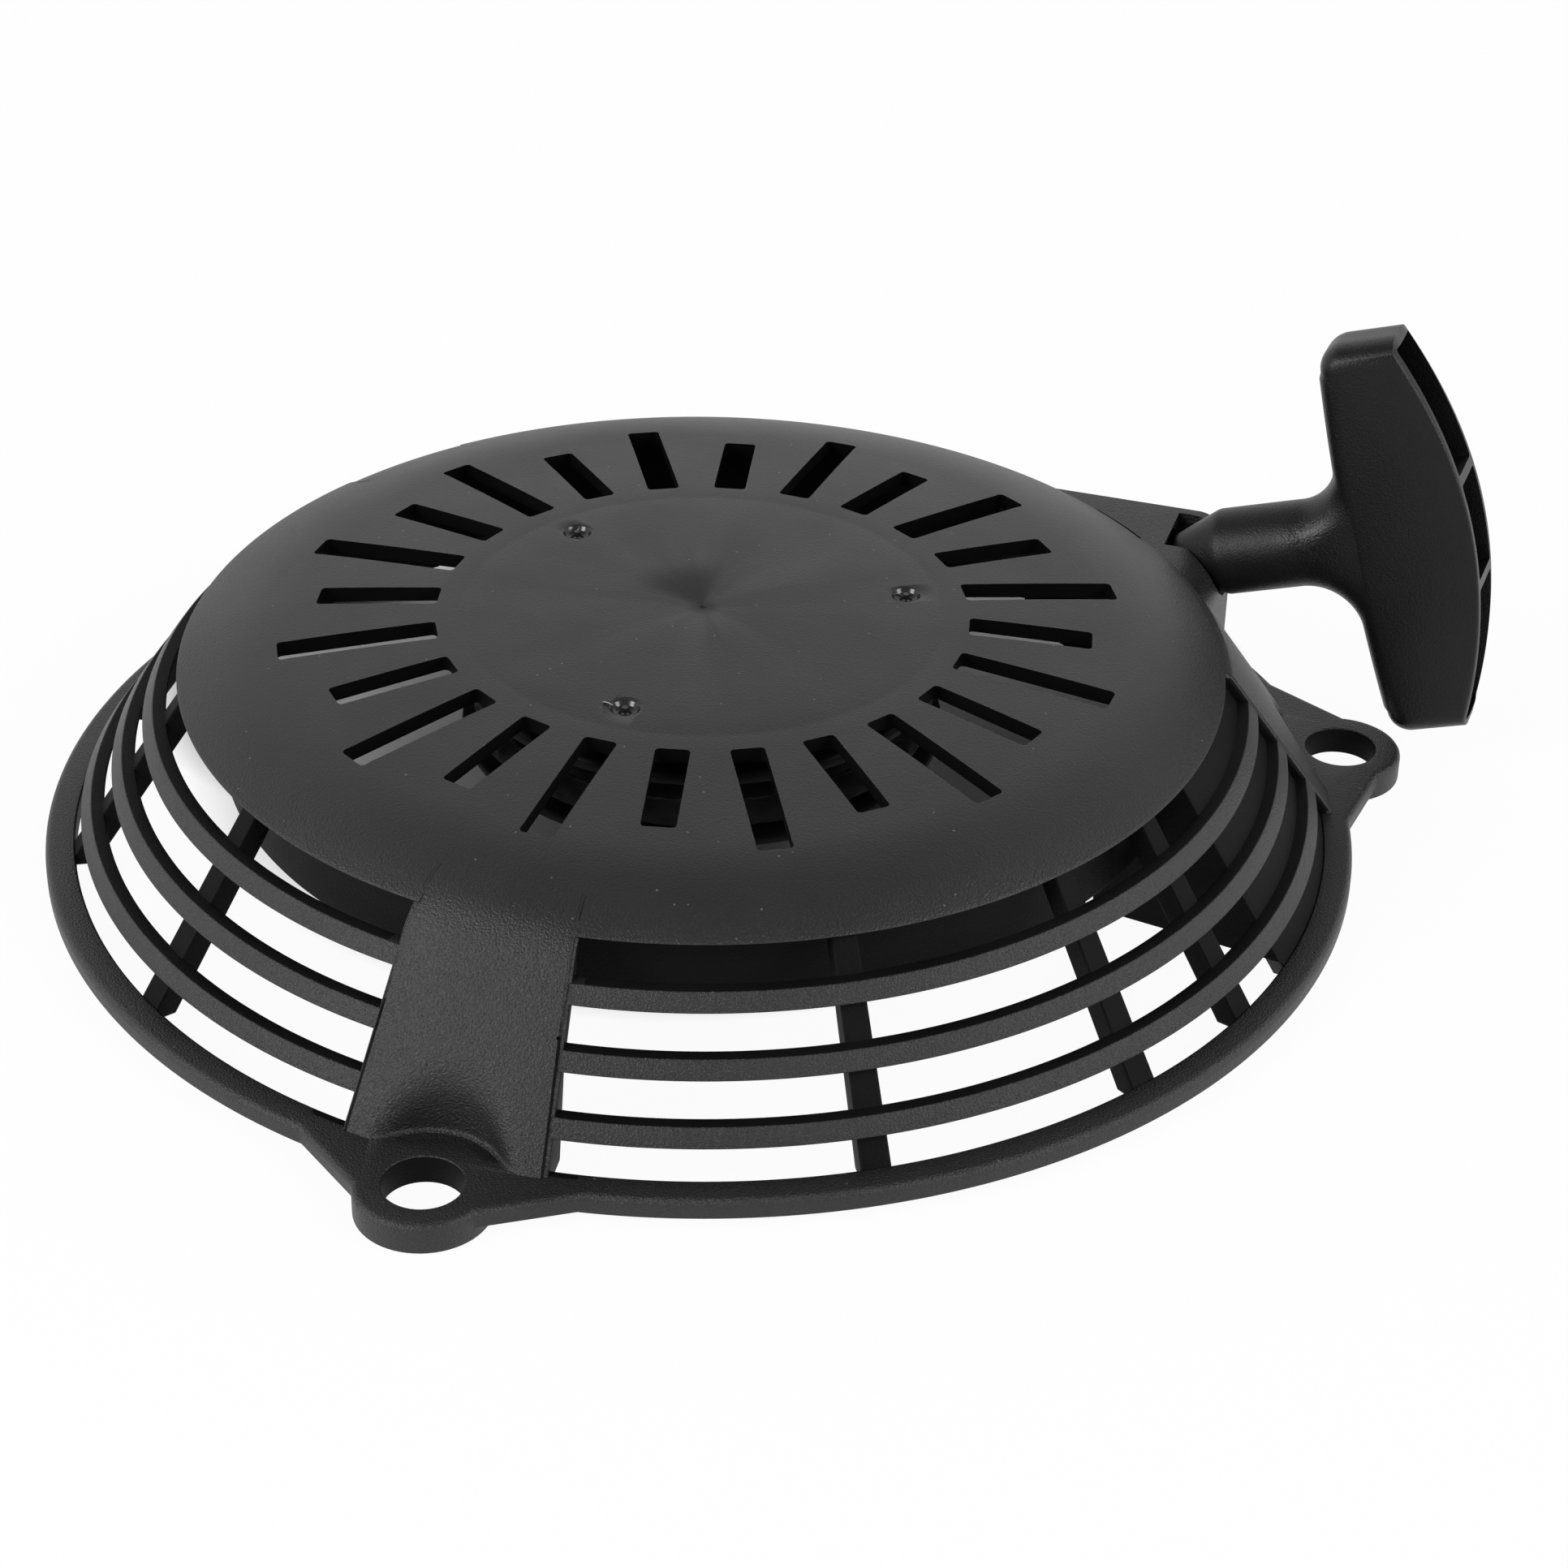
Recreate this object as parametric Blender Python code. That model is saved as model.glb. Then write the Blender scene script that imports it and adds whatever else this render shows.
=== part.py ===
"""Recoil starter of a small vertical-shaft engine: housing, rope reel, rewind spring, ratchet and T handle.

Metres, +Z up. The origin is on the reel's axis, in the plane that the lugs' feet stand on.
The first lug is on +X.
"""

import math

import bmesh
import bpy
from mathutils import Euler, Matrix, Vector

# Clearances
GAP = 0.0003  # between pieces that bear on each other
RUNNING_GAP = 0.0003  # between a turning piece and its shaft
JOIN = 0.0004  # how far one moulded feature sinks into the next
OVERSHOOT = 0.0010  # how far a cut runs past the surface that it opens

# Facets of round shapes
RING_SEGMENTS = 72
REEL_SEGMENTS = 48
HOLE_SEGMENTS = 28
PIN_SEGMENTS = 20
SMALL_SEGMENTS = 12

# Base ring and mounting lugs
BASE_RADIUS = 0.100
BASE_RING_WIDTH = 0.0045
BASE_RING_BOTTOM = 0.0015
BASE_RING_THICKNESS = 0.0030
BASE_RING_CHAMFER = 0.0008
LUG_COUNT = 3
LUG_OFFSET = 0.0028
LUG_RADIUS = 0.0095
LUG_HOLE_RADIUS = 0.0056
LUG_FLANK_ANGLE = 12.5
LUG_FLANK_TANGENT = 68.0
BOLT_RECESS_RADIUS = 0.0093
BOLT_RECESS_DRAFT = 0.20
BOLT_RECESS_WALL = 0.0024

# Top disc
DISC_CROWN_HEIGHT = 0.03865
DISC_RADIUS = 0.0790
DISC_ROLL_WIDTH = 0.0170
DISC_SHOULDER_WIDTH = 0.0080
DISC_RIM_DROP = 0.00795
DOME_DROP = 0.00115
DISC_WALL = 0.0024
RIM_WALL = 0.0016
SLOT_COUNT = 24
SLOT_INNER_RADIUS = 0.04025
SLOT_LONG_MARGIN = 0.0163
SLOT_SHORT_MARGIN = 0.0214
SLOT_WIDTH = 0.0047
SLOT_CORNER = 0.0007

# Grille: a cone of bands on struts
CONE_STEP = 0.0002
CONE_FOOT_INSET = 0.0027
BAND_COUNT = 3
BAND_FIRST_GAP = 0.0048
BAND_LAST_GAP = 0.0042
BAND_HEIGHT = 0.00245
BAND_THICKNESS = 0.0023
STRUT_ANGLES = (62.0, 88.0, 154.0, 180.0, 206.2, 275.2, 300.8, 314.8)
STRUT_HALF_ANGLE = 1.4
STRUT_SETBACK = 0.0018
STRUT_DEPTH = 0.0050
CLOSED_SPAN = (-37.0, -9.0)
CLOSED_DEPTH = 0.0028
RIB_ANGLE = -36.6
RIB_HALF_ANGLE = 0.7
RIB_DROP = 0.0015
RIB_FOOT_INSET = 0.0180
PAD_HALF_ANGLE = 8.9
PAD_PROUD = 0.0005
PAD_THICKNESS = 0.0030
PANEL_EDGE_Y = -0.0190
PANEL_END_ANGLE = 22.0

# Air baffle ring and centre post under the disc
BAFFLE_INSET = 0.0065
BAFFLE_THICKNESS = 0.0020
BAFFLE_DEPTH = 0.0137
POST_RADIUS = 0.0070
POST_LENGTH = 0.02745
POST_BORE_CAP = 0.00865

# Rope guide box, in its own plan axes: along the pull, and out from the reel's axis
GUIDE_YAW = -27.5
GUIDE_TOP_DROP = 0.0005
GUIDE_BOTTOM = 0.0100
GUIDE_END_INSET = 0.0320
GUIDE_OUT = 0.0705
GUIDE_IN = 0.0460
GUIDE_IN_WIDTH = 0.0080
GUIDE_BACK = 0.0200
GUIDE_CORNER = 0.0050
GUIDE_WALL = 0.0022
GUIDE_BLOCK_DEPTH = 0.0155
NOTCH_DEPTH = 0.0095
NOTCH_HALF_WIDTH = 0.0057
NOTCH_OUT = 0.0629

# Handle: the tip of its stem sits in the guide's notch
HANDLE_TIP_SETBACK = 0.0077
HANDLE_TIP_OUT = 0.0617
HANDLE_TIP_DEPTH = 0.0042
HANDLE_PITCH = 17.2
HANDLE_ROLL = 5.1
STEM_RADIUS = 0.0069
STEM_TIP_RADIUS = 0.0036
STEM_TAPER_LENGTH = 0.0078
STEM_CLEARANCE = 0.0005
BAR_FACE = 0.0280
BAR_FACE_BOW = 0.0014
BAR_CROWN = 0.0488
BAR_END_DROP = 0.0070
BAR_MOST_HALF_LENGTH = 0.0326
BAR_REACH = 1.26  # of the tip's height, which keeps the bar's end off the lug
BAR_HALF_THICKNESS = 0.0064
BAR_CORNER = 0.0040
BAR_FILLET = 0.0060
BAR_EDGE_ROUND = 0.0034
BAR_WALL = 0.0015
BAR_FLOOR = 0.0035
RIB_CENTRE = 0.0087
RIB_HALF_THICKNESS = 0.0008

# Rope
ROPE_RADIUS = 0.0020
ROPE_LOOP_GAP = 0.0005
ROPE_HOLE_CLEARANCE = 0.0003
EYELET_BACK = 0.0055
EYELET_CLEARANCE = 0.0011
EYELET_WALL = 0.0015
EYELET_LENGTH = 0.0050
BEND_RUN = 0.0060

# Reel
REEL_RADIUS = 0.0365
REEL_DROP = 0.02025
FLANGE_THICKNESS = 0.0018
GROOVE_WALL = 0.0014
WINDING_INSET = 0.0015
UPPER_FLANGE_THICKNESS = 0.0020
POCKET_FLOOR = 0.0013
SPRING_POCKET_INSET = 0.0049
SPRING_POCKET_WALL = 0.0022
DISC_TO_REEL = 0.0008

# Rewind spring
SPRING_TURNS = 7
SPRING_STRIP = 0.0007
LOOP_POINTS = 24

# Ratchet
PAWL_CIRCLE = 0.0170
PAWL_THICKNESS = 0.0031
PAWL_TOP_GAP = 0.0013
PAWL_EYE_RADIUS = 0.0044
PAWL_LENGTH = 0.0156
PAWL_SWING = 30.0
PIN_RADIUS = 0.0020
PIN_LENGTH = 0.0110
PEG_RADIUS = 0.0015
PEG_PLACE = Vector((-0.0025, -0.0075))
GUIDE_PLATE_EDGE = 0.0070
GUIDE_PLATE_THICKNESS = 0.0025
GUIDE_PLATE_LAG = 25.0
CAM_CLEARANCE = 0.0005
PAWL_WIRE = 0.0004
PAWL_COIL_RADIUS = 0.0030
PAWL_COIL_PITCH = 0.0013
PAWL_COIL_TURNS = 2
SPRING_RECESS_RADIUS = 0.0042
SPRING_RECESS_DEPTH = 0.0042
FRICTION_WIRE = 0.0005
FRICTION_COIL_GAP = 0.0019
FRICTION_PITCH = 0.0015
FRICTION_TURNS = 2

# Centre screw and washer
WASHER_RADIUS = 0.0115
WASHER_THICKNESS = 0.0013
SCREW_RADIUS = 0.0023
SCREW_FLANGE_RADIUS = 0.0070
SCREW_FLANGE_THICKNESS = 0.0011
SCREW_HEAD_FLATS = 0.0100
SCREW_HEAD_HEIGHT = 0.0030
SCREW_TIP_GAP = 0.0020

# Knots and their seats
KNOT_RADIUS = 0.0036
KNOT_INSET = 0.0081
KNOT_POCKET_DEPTH = 0.0060
KNOT_WASHER_RADIUS = 0.0046
KNOT_WASHER_THICKNESS = 0.0012
HANDLE_KNOT_RADIUS = 0.0044
HANDLE_KNOT_LENGTH = 0.0085

# Radii that follow from the sizes above
LUG_CIRCLE_RADIUS = BASE_RADIUS + LUG_OFFSET
DISC_ROLL_START = DISC_RADIUS - DISC_ROLL_WIDTH
DISC_ROLL_SHOULDER = DISC_RADIUS - DISC_SHOULDER_WIDTH
SLOT_LONG_RADIUS = DISC_RADIUS - SLOT_LONG_MARGIN
SLOT_SHORT_RADIUS = DISC_RADIUS - SLOT_SHORT_MARGIN
BAFFLE_RADIUS = DISC_RADIUS - BAFFLE_INSET
GUIDE_END = BASE_RADIUS - GUIDE_END_INSET
EYELET_BORE = ROPE_RADIUS + EYELET_CLEARANCE
EYELET_RADIUS = EYELET_BORE + EYELET_WALL
WINDING_RADIUS = REEL_RADIUS - ROPE_RADIUS - WINDING_INSET
SPRING_POCKET_RADIUS = REEL_RADIUS - SPRING_POCKET_INSET
GROOVE_RADIUS = PAWL_CIRCLE + SPRING_RECESS_RADIUS + GROOVE_WALL
GUIDE_PLATE_RADIUS = PAWL_CIRCLE + GUIDE_PLATE_EDGE
FRICTION_COIL_RADIUS = POST_RADIUS + FRICTION_COIL_GAP
KNOT_PLACE = GROOVE_RADIUS - KNOT_INSET

# Heights that follow from the sizes above
BASE_RING_TOP = BASE_RING_BOTTOM + BASE_RING_THICKNESS
SKIRT_BOTTOM = DISC_CROWN_HEIGHT - DISC_RIM_DROP
BAND_FIRST_TOP = SKIRT_BOTTOM - BAND_FIRST_GAP
BAND_PITCH = (BAND_FIRST_TOP - BAND_HEIGHT - BAND_LAST_GAP - BASE_RING_TOP) / (BAND_COUNT - 1)
BAFFLE_BOTTOM = SKIRT_BOTTOM - BAFFLE_DEPTH
POST_BOTTOM = DISC_CROWN_HEIGHT - POST_LENGTH
POST_BORE_TOP = DISC_CROWN_HEIGHT - POST_BORE_CAP
GUIDE_TOP = SKIRT_BOTTOM - GUIDE_TOP_DROP
ROPE_PITCH = 2 * ROPE_RADIUS + ROPE_LOOP_GAP
GROOVE_WIDTH = 2 * ROPE_PITCH
REEL_BOTTOM = DISC_CROWN_HEIGHT - REEL_DROP
GROOVE_BOTTOM = REEL_BOTTOM + FLANGE_THICKNESS
GROOVE_TOP = GROOVE_BOTTOM + GROOVE_WIDTH
SPRING_FLOOR = GROOVE_TOP + POCKET_FLOOR
LOW_LOOP = GROOVE_BOTTOM + (GROOVE_WIDTH - ROPE_PITCH) / 2
HIGH_LOOP = LOW_LOOP + ROPE_PITCH
PAWL_TOP = REEL_BOTTOM - PAWL_TOP_GAP
PAWL_BOTTOM = PAWL_TOP - PAWL_THICKNESS
GUIDE_PLATE_TOP = PAWL_BOTTOM - GAP
GUIDE_PLATE_BOTTOM = GUIDE_PLATE_TOP - GUIDE_PLATE_THICKNESS
WASHER_TOP = min(GUIDE_PLATE_BOTTOM, POST_BOTTOM) - GAP
SCREW_TOP = WASHER_TOP - WASHER_THICKNESS - GAP

# The handle's place: X of its own axes runs along the pull
POCKET_X = BAR_FACE + BAR_FLOOR
HANDLE_TIP = Vector((GUIDE_END - HANDLE_TIP_SETBACK, HANDLE_TIP_OUT, GUIDE_TOP - HANDLE_TIP_DEPTH))
HANDLE_TIP.rotate(Euler((0, 0, math.radians(GUIDE_YAW))))
BAR_HALF_LENGTH = min(BAR_MOST_HALF_LENGTH, BAR_REACH * HANDLE_TIP.z)
HANDLE_TURN = Euler((math.radians(-HANDLE_ROLL), math.radians(-HANDLE_PITCH), math.radians(GUIDE_YAW)))
PULL = HANDLE_TURN.to_matrix() @ Vector((1, 0, 0))
ROPE_BEND = HANDLE_TIP - PULL * EYELET_BACK


def material(name, colour, roughness, metallic=0.0):
    """A plain surface for one piece."""
    made = bpy.data.materials.new(name)
    made.use_nodes = True
    shader = made.node_tree.nodes["Principled BSDF"]
    shader.inputs["Base Color"].default_value = (*colour, 1)
    shader.inputs["Roughness"].default_value = roughness
    shader.inputs["Metallic"].default_value = metallic
    return made


def new_object(name, shape, finish=None):
    """Turns a bmesh into an object, faces outward, shaded smooth with sharp edges kept."""
    bmesh.ops.recalc_face_normals(shape, faces=shape.faces)
    mesh = bpy.data.meshes.new(name)
    shape.to_mesh(mesh)
    shape.free()
    mesh.shade_smooth()
    mesh.set_sharp_from_angle(angle=math.radians(35))
    made = bpy.data.objects.new(name, mesh)
    bpy.context.scene.collection.objects.link(made)
    if finish:
        mesh.materials.append(finish)
    return made


def helper(made):
    """Marks a shape that only adds to or cuts another one."""
    made.hide_render = True
    made.display_type = "WIRE"
    return made


def combine(target, other, operation):
    """Adds a Boolean of a helper shape to the target."""
    modifier = target.modifiers.new(operation.lower(), "BOOLEAN")
    modifier.operation = operation
    modifier.object = helper(other)
    return target


def combine_all(target, others, operation):
    """Adds one Boolean of a whole group of helper shapes to the target."""
    group = bpy.data.collections.new(f"{target.name}_{operation.lower()}")
    bpy.context.scene.collection.children.link(group)
    for other in others:
        bpy.context.scene.collection.objects.unlink(helper(other))
        group.objects.link(other)
    modifier = target.modifiers.new(operation.lower(), "BOOLEAN")
    modifier.operation = operation
    modifier.operand_type = "COLLECTION"
    modifier.collection = group
    return target


def turned(name, profile, finish=None, segments=RING_SEGMENTS):
    """A solid of revolution about Z; a profile that isn't on the axis at both ends is closed first."""
    shape = bmesh.new()
    corners = [shape.verts.new((radius, 0, height)) for radius, height in profile]
    pairs = list(zip(corners, corners[1:]))
    if profile[0][0] > 0 or profile[-1][0] > 0:
        pairs.append((corners[-1], corners[0]))
    edges = [shape.edges.new(pair) for pair in pairs]
    bmesh.ops.spin(
        shape,
        geom=corners + edges,
        cent=(0, 0, 0),
        axis=(0, 0, 1),
        angle=math.tau,
        steps=segments,
        use_merge=True,
    )
    bmesh.ops.remove_doubles(shape, verts=shape.verts, dist=1e-7)
    return new_object(name, shape, finish)


def sector(name, profile, spans, steps):
    """A piece of a turned shape, where each profile point has its own start and end angle in degrees."""
    shape = bmesh.new()
    rows = []
    for step in range(steps + 1):
        row = []
        for (radius, height), (start, end) in zip(profile, spans):
            angle = math.radians(start + (end - start) * step / steps)
            row.append(shape.verts.new((radius * math.cos(angle), radius * math.sin(angle), height)))
        rows.append(row)
    count = len(profile)
    for first, second in zip(rows, rows[1:]):
        for i in range(count):
            j = (i + 1) % count
            shape.faces.new((first[i], first[j], second[j], second[i]))
    shape.faces.new(rows[0])
    shape.faces.new(rows[-1])
    return new_object(name, shape)


def add_prism(shape, outline, bottom, top, place=None):
    """Adds an upright prism over a plan outline to a bmesh."""
    low = [shape.verts.new((x, y, bottom)) for x, y in outline]
    lifted = bmesh.ops.extrude_face_region(shape, geom=[shape.faces.new(low)])["geom"]
    high = [part for part in lifted if isinstance(part, bmesh.types.BMVert)]
    bmesh.ops.translate(shape, verts=high, vec=(0, 0, top - bottom))
    if place:
        bmesh.ops.transform(shape, matrix=place, verts=low + high)


def prism(name, outline, bottom, top, finish=None, place=None):
    """An upright prism over a plan outline."""
    shape = bmesh.new()
    add_prism(shape, outline, bottom, top, place)
    return new_object(name, shape, finish)


def rod(name, radius, start, end, end_radius=None, finish=None, segments=PIN_SEGMENTS):
    """A round bar, or a cone, between two points."""
    start = Vector(start)
    end = Vector(end)
    turn = (end - start).to_track_quat("Z", "Y").to_matrix().to_4x4()
    shape = bmesh.new()
    bmesh.ops.create_cone(
        shape,
        cap_ends=True,
        segments=segments,
        radius1=radius,
        radius2=radius if end_radius is None else end_radius,
        depth=(end - start).length,
        matrix=Matrix.Translation((start + end) / 2) @ turn,
    )
    return new_object(name, shape, finish)


def tube(name, points, radius, finish, roundness=1):
    """An unbroken round tube along points."""
    curve = bpy.data.curves.new(name, "CURVE")
    curve.dimensions = "3D"
    curve.bevel_depth = radius
    curve.bevel_resolution = roundness
    curve.use_fill_caps = True
    spline = curve.splines.new("POLY")
    spline.points.add(len(points) - 1)
    for point, place in zip(spline.points, points):
        point.co = (*place, 1)
    curve.materials.append(finish)
    made = bpy.data.objects.new(name, curve)
    bpy.context.scene.collection.objects.link(made)
    return made


def print_self_gap(name, points, width, turn_points):
    """Measures the least gap of a wound tube or strip to itself, on points at least half a turn apart."""
    skip = turn_points // 2
    near = min(
        (points[i] - points[j]).length for i in range(len(points)) for j in range(i + skip, len(points))
    )
    print(f"{name}: least gap to itself {1000 * (near - width):.2f} mm")


def arc(centre, radius, start, end, steps):
    """Points of an arc in the plane, ends included, with angles in degrees."""
    turn = [math.radians(start + (end - start) * i / steps) for i in range(steps + 1)]
    return [(centre[0] + radius * math.cos(a), centre[1] + radius * math.sin(a)) for a in turn]


def turned_about_z(points, angle):
    """Plan points turned about the origin by an angle in degrees."""
    c = math.cos(math.radians(angle))
    s = math.sin(math.radians(angle))
    return [(x * c - y * s, x * s + y * c) for x, y in points]


def round_z(radius, angle, height):
    """A point at a radius, an angle in radians and a height."""
    return Vector((radius * math.cos(angle), radius * math.sin(angle), height))


def guide_plan(points):
    """Plan points given along the pull and out from the reel's axis, in the part's own axes."""
    return turned_about_z(points, GUIDE_YAW)


def dome(radius):
    """Height of the disc's crowned top."""
    return DISC_CROWN_HEIGHT - DOME_DROP * (radius / SLOT_INNER_RADIUS) ** 2


def cone(height):
    """Radius of the grille's outer face."""
    top = DISC_RADIUS + CONE_STEP
    foot = BASE_RADIUS - CONE_FOOT_INSET
    return top + (foot - top) * (SKIRT_BOTTOM - height) / (SKIRT_BOTTOM - BASE_RING_TOP)


def roll_point(share):
    """A point of the curve that rolls the disc's top over into its skirt."""
    start = Vector((DISC_ROLL_START, dome(DISC_ROLL_START)))
    shoulder = Vector((DISC_ROLL_SHOULDER, dome(DISC_ROLL_SHOULDER)))
    end = Vector((DISC_RADIUS, SKIRT_BOTTOM))
    return tuple(start * (1 - share) ** 2 + shoulder * 2 * share * (1 - share) + end * share**2)


def disc_profile():
    """Disc, skirt, baffle ring and centre post, from the crown outward and back along the underside."""
    outside = (SLOT_INNER_RADIUS + DISC_ROLL_START) / 2
    points = [(r, dome(r)) for r in (0.0, SLOT_INNER_RADIUS / 2, SLOT_INNER_RADIUS, outside)]
    roll = [roll_point(step / 4) for step in range(5)]
    points += roll
    points.append((DISC_RADIUS - RIM_WALL, SKIRT_BOTTOM))
    points.append((roll[3][0], roll[3][1] - RIM_WALL))
    for radius, height in (
        (BAFFLE_RADIUS, None),
        (BAFFLE_RADIUS, BAFFLE_BOTTOM),
        (BAFFLE_RADIUS - BAFFLE_THICKNESS, BAFFLE_BOTTOM),
        (BAFFLE_RADIUS - BAFFLE_THICKNESS, None),
        (SLOT_INNER_RADIUS, None),
        (POST_RADIUS, None),
    ):
        points.append((radius, dome(radius) - DISC_WALL if height is None else height))
    bore = SCREW_RADIUS + GAP
    points += [(POST_RADIUS, POST_BOTTOM), (bore, POST_BOTTOM), (bore, POST_BORE_TOP), (0.0, POST_BORE_TOP)]
    return points


def strut_profile(setback, depth):
    """Side view of what runs down behind the bands, from the disc to the base ring."""
    top = SKIRT_BOTTOM + RIM_WALL / 2
    bottom = BASE_RING_BOTTOM + BASE_RING_THICKNESS / 3
    return [
        (cone(top) - setback, top),
        (cone(bottom) - setback, bottom),
        (cone(bottom) - setback - depth, bottom),
        (cone(top) - setback - depth, top),
    ]


def pad_profile():
    """Side view of the pad over a lug: it runs on from the rim, and its thick foot backs the bolt recess."""
    bottom = BASE_RING_BOTTOM + BASE_RING_THICKNESS / 3
    recess_top = BASE_RING_TOP + BOLT_RECESS_RADIUS
    foot = LUG_CIRCLE_RADIUS - BOLT_RECESS_RADIUS - BOLT_RECESS_WALL
    return [
        (DISC_RADIUS - RIM_WALL + JOIN, SKIRT_BOTTOM + JOIN),
        (DISC_RADIUS + JOIN / 2, SKIRT_BOTTOM - JOIN),
        (cone(BAND_FIRST_TOP) + PAD_PROUD, BAND_FIRST_TOP),
        (cone(bottom) + PAD_PROUD, bottom),
        (foot, bottom),
        (min(foot - BOLT_RECESS_DRAFT * BOLT_RECESS_RADIUS, cone(recess_top) - PAD_THICKNESS), recess_top),
        (cone(SKIRT_BOTTOM - JOIN) - PAD_THICKNESS, SKIRT_BOTTOM - JOIN),
        (DISC_RADIUS - RIM_WALL, SKIRT_BOTTOM + JOIN),
    ]


def rib_profile():
    """Side view of the deep rib at the end of the closed wall, from the baffle ring out to the wall."""
    outer_top, outer_foot, _, _ = strut_profile(STRUT_SETBACK, STRUT_DEPTH)
    inside = BAFFLE_RADIUS - BAFFLE_THICKNESS / 2
    return [
        outer_top,
        outer_foot,
        (BASE_RADIUS - RIB_FOOT_INSET, outer_foot[1]),
        (inside, BAFFLE_BOTTOM - RIB_DROP),
        (inside, outer_top[1]),
    ]


def lug_pieces(angle):
    """The flat flank and the thicker boss of one lug."""
    reach = BASE_RADIUS - JOIN
    inside = BASE_RADIUS - BASE_RING_WIDTH + JOIN
    flank = math.radians(LUG_FLANK_ANGLE)
    outline = arc((LUG_CIRCLE_RADIUS, 0), LUG_RADIUS - JOIN, -LUG_FLANK_TANGENT, LUG_FLANK_TANGENT, 10)
    outline += [
        (reach * math.cos(flank), reach * math.sin(flank)),
        (inside * math.cos(flank), inside * math.sin(flank)),
        (inside, 0),
        (inside * math.cos(flank), -inside * math.sin(flank)),
        (reach * math.cos(flank), -reach * math.sin(flank)),
    ]
    plate = prism(
        f"lug_flank_{angle:.0f}",
        turned_about_z(outline, angle),
        BASE_RING_BOTTOM + JOIN / 2,
        BASE_RING_TOP - JOIN / 4,
    )
    centre = Vector((LUG_CIRCLE_RADIUS, 0, 0))
    centre.rotate(Euler((0, 0, math.radians(angle))))
    top = centre + Vector((0, 0, BASE_RING_TOP))
    boss = rod(f"lug_boss_{angle:.0f}", LUG_RADIUS, centre, top, segments=HOLE_SEGMENTS)
    return [plate, boss]


def lug_cutters(angle):
    """The bolt hole of one lug, and the recess that its bolt head needs in the pad."""
    centre = Vector((LUG_CIRCLE_RADIUS, 0, 0))
    centre.rotate(Euler((0, 0, math.radians(angle))))
    through = Vector((0, 0, OVERSHOOT))
    top = Vector((0, 0, BASE_RING_TOP))
    rise = Vector((0, 0, GUIDE_TOP / 2))
    hole = rod(
        f"lug_hole_{angle:.0f}",
        LUG_HOLE_RADIUS,
        centre - through,
        centre + top + through,
        segments=HOLE_SEGMENTS,
    )
    recess = rod(
        f"bolt_recess_{angle:.0f}",
        BOLT_RECESS_RADIUS,
        centre + top + Vector((0, 0, JOIN / 4)),
        centre + top + rise,
        end_radius=BOLT_RECESS_RADIUS + BOLT_RECESS_DRAFT * rise.z,
        segments=HOLE_SEGMENTS,
    )
    return [hole, recess]


def slot_cutters():
    """The ring of air slots, long and short by turns."""
    shape = bmesh.new()
    for index in range(SLOT_COUNT):
        outer = SLOT_SHORT_RADIUS if index % 2 else SLOT_LONG_RADIUS
        side = SLOT_WIDTH / 2
        outline = [
            (SLOT_INNER_RADIUS, side - SLOT_CORNER),
            (SLOT_INNER_RADIUS, SLOT_CORNER - side),
            (SLOT_INNER_RADIUS + SLOT_CORNER, -side),
            (outer - SLOT_CORNER, -side),
            (outer, SLOT_CORNER - side),
            (outer, side - SLOT_CORNER),
            (outer - SLOT_CORNER, side),
            (SLOT_INNER_RADIUS + SLOT_CORNER, side),
        ]
        turned_outline = turned_about_z(outline, 360 * index / SLOT_COUNT)
        add_prism(shape, turned_outline, SKIRT_BOTTOM, DISC_CROWN_HEIGHT + OVERSHOOT)
    return new_object("slots", shape)


def guide_pieces():
    """The rope guide box, which leaves the grille along the pull."""
    corner = arc((GUIDE_END - GUIDE_CORNER, GUIDE_OUT - GUIDE_CORNER), GUIDE_CORNER, 0, 90, 5)
    slanted = [(GUIDE_BACK, GUIDE_OUT), (GUIDE_END - GUIDE_IN_WIDTH, GUIDE_IN)]
    outline = [(GUIDE_END, GUIDE_IN)] + corner + slanted
    return [prism("guide_box", guide_plan(outline), GUIDE_BOTTOM, GUIDE_TOP)]


def guide_cutters(entry):
    """The box's hollow, the handle's seat in its end, and the rope's way in."""
    return [guide_hollow()] + stem_cutters() + rope_cutters(entry)


def guide_hollow():
    """The box is open below, and towards the reel along its slanted side."""
    end = GUIDE_END - GUIDE_BLOCK_DEPTH
    out = GUIDE_OUT - GUIDE_WALL
    corner = GUIDE_END - GUIDE_IN_WIDTH
    slope = (corner - GUIDE_BACK) / (GUIDE_OUT - GUIDE_IN)
    inner = GUIDE_IN + (corner - end) / slope - OVERSHOOT
    back = GUIDE_BACK + GUIDE_WALL * slope - OVERSHOOT
    return prism(
        "guide_hollow",
        guide_plan([(end, inner), (end, out), (back, out)]),
        GUIDE_BOTTOM - OVERSHOOT,
        GUIDE_TOP - GUIDE_WALL,
    )


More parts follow.
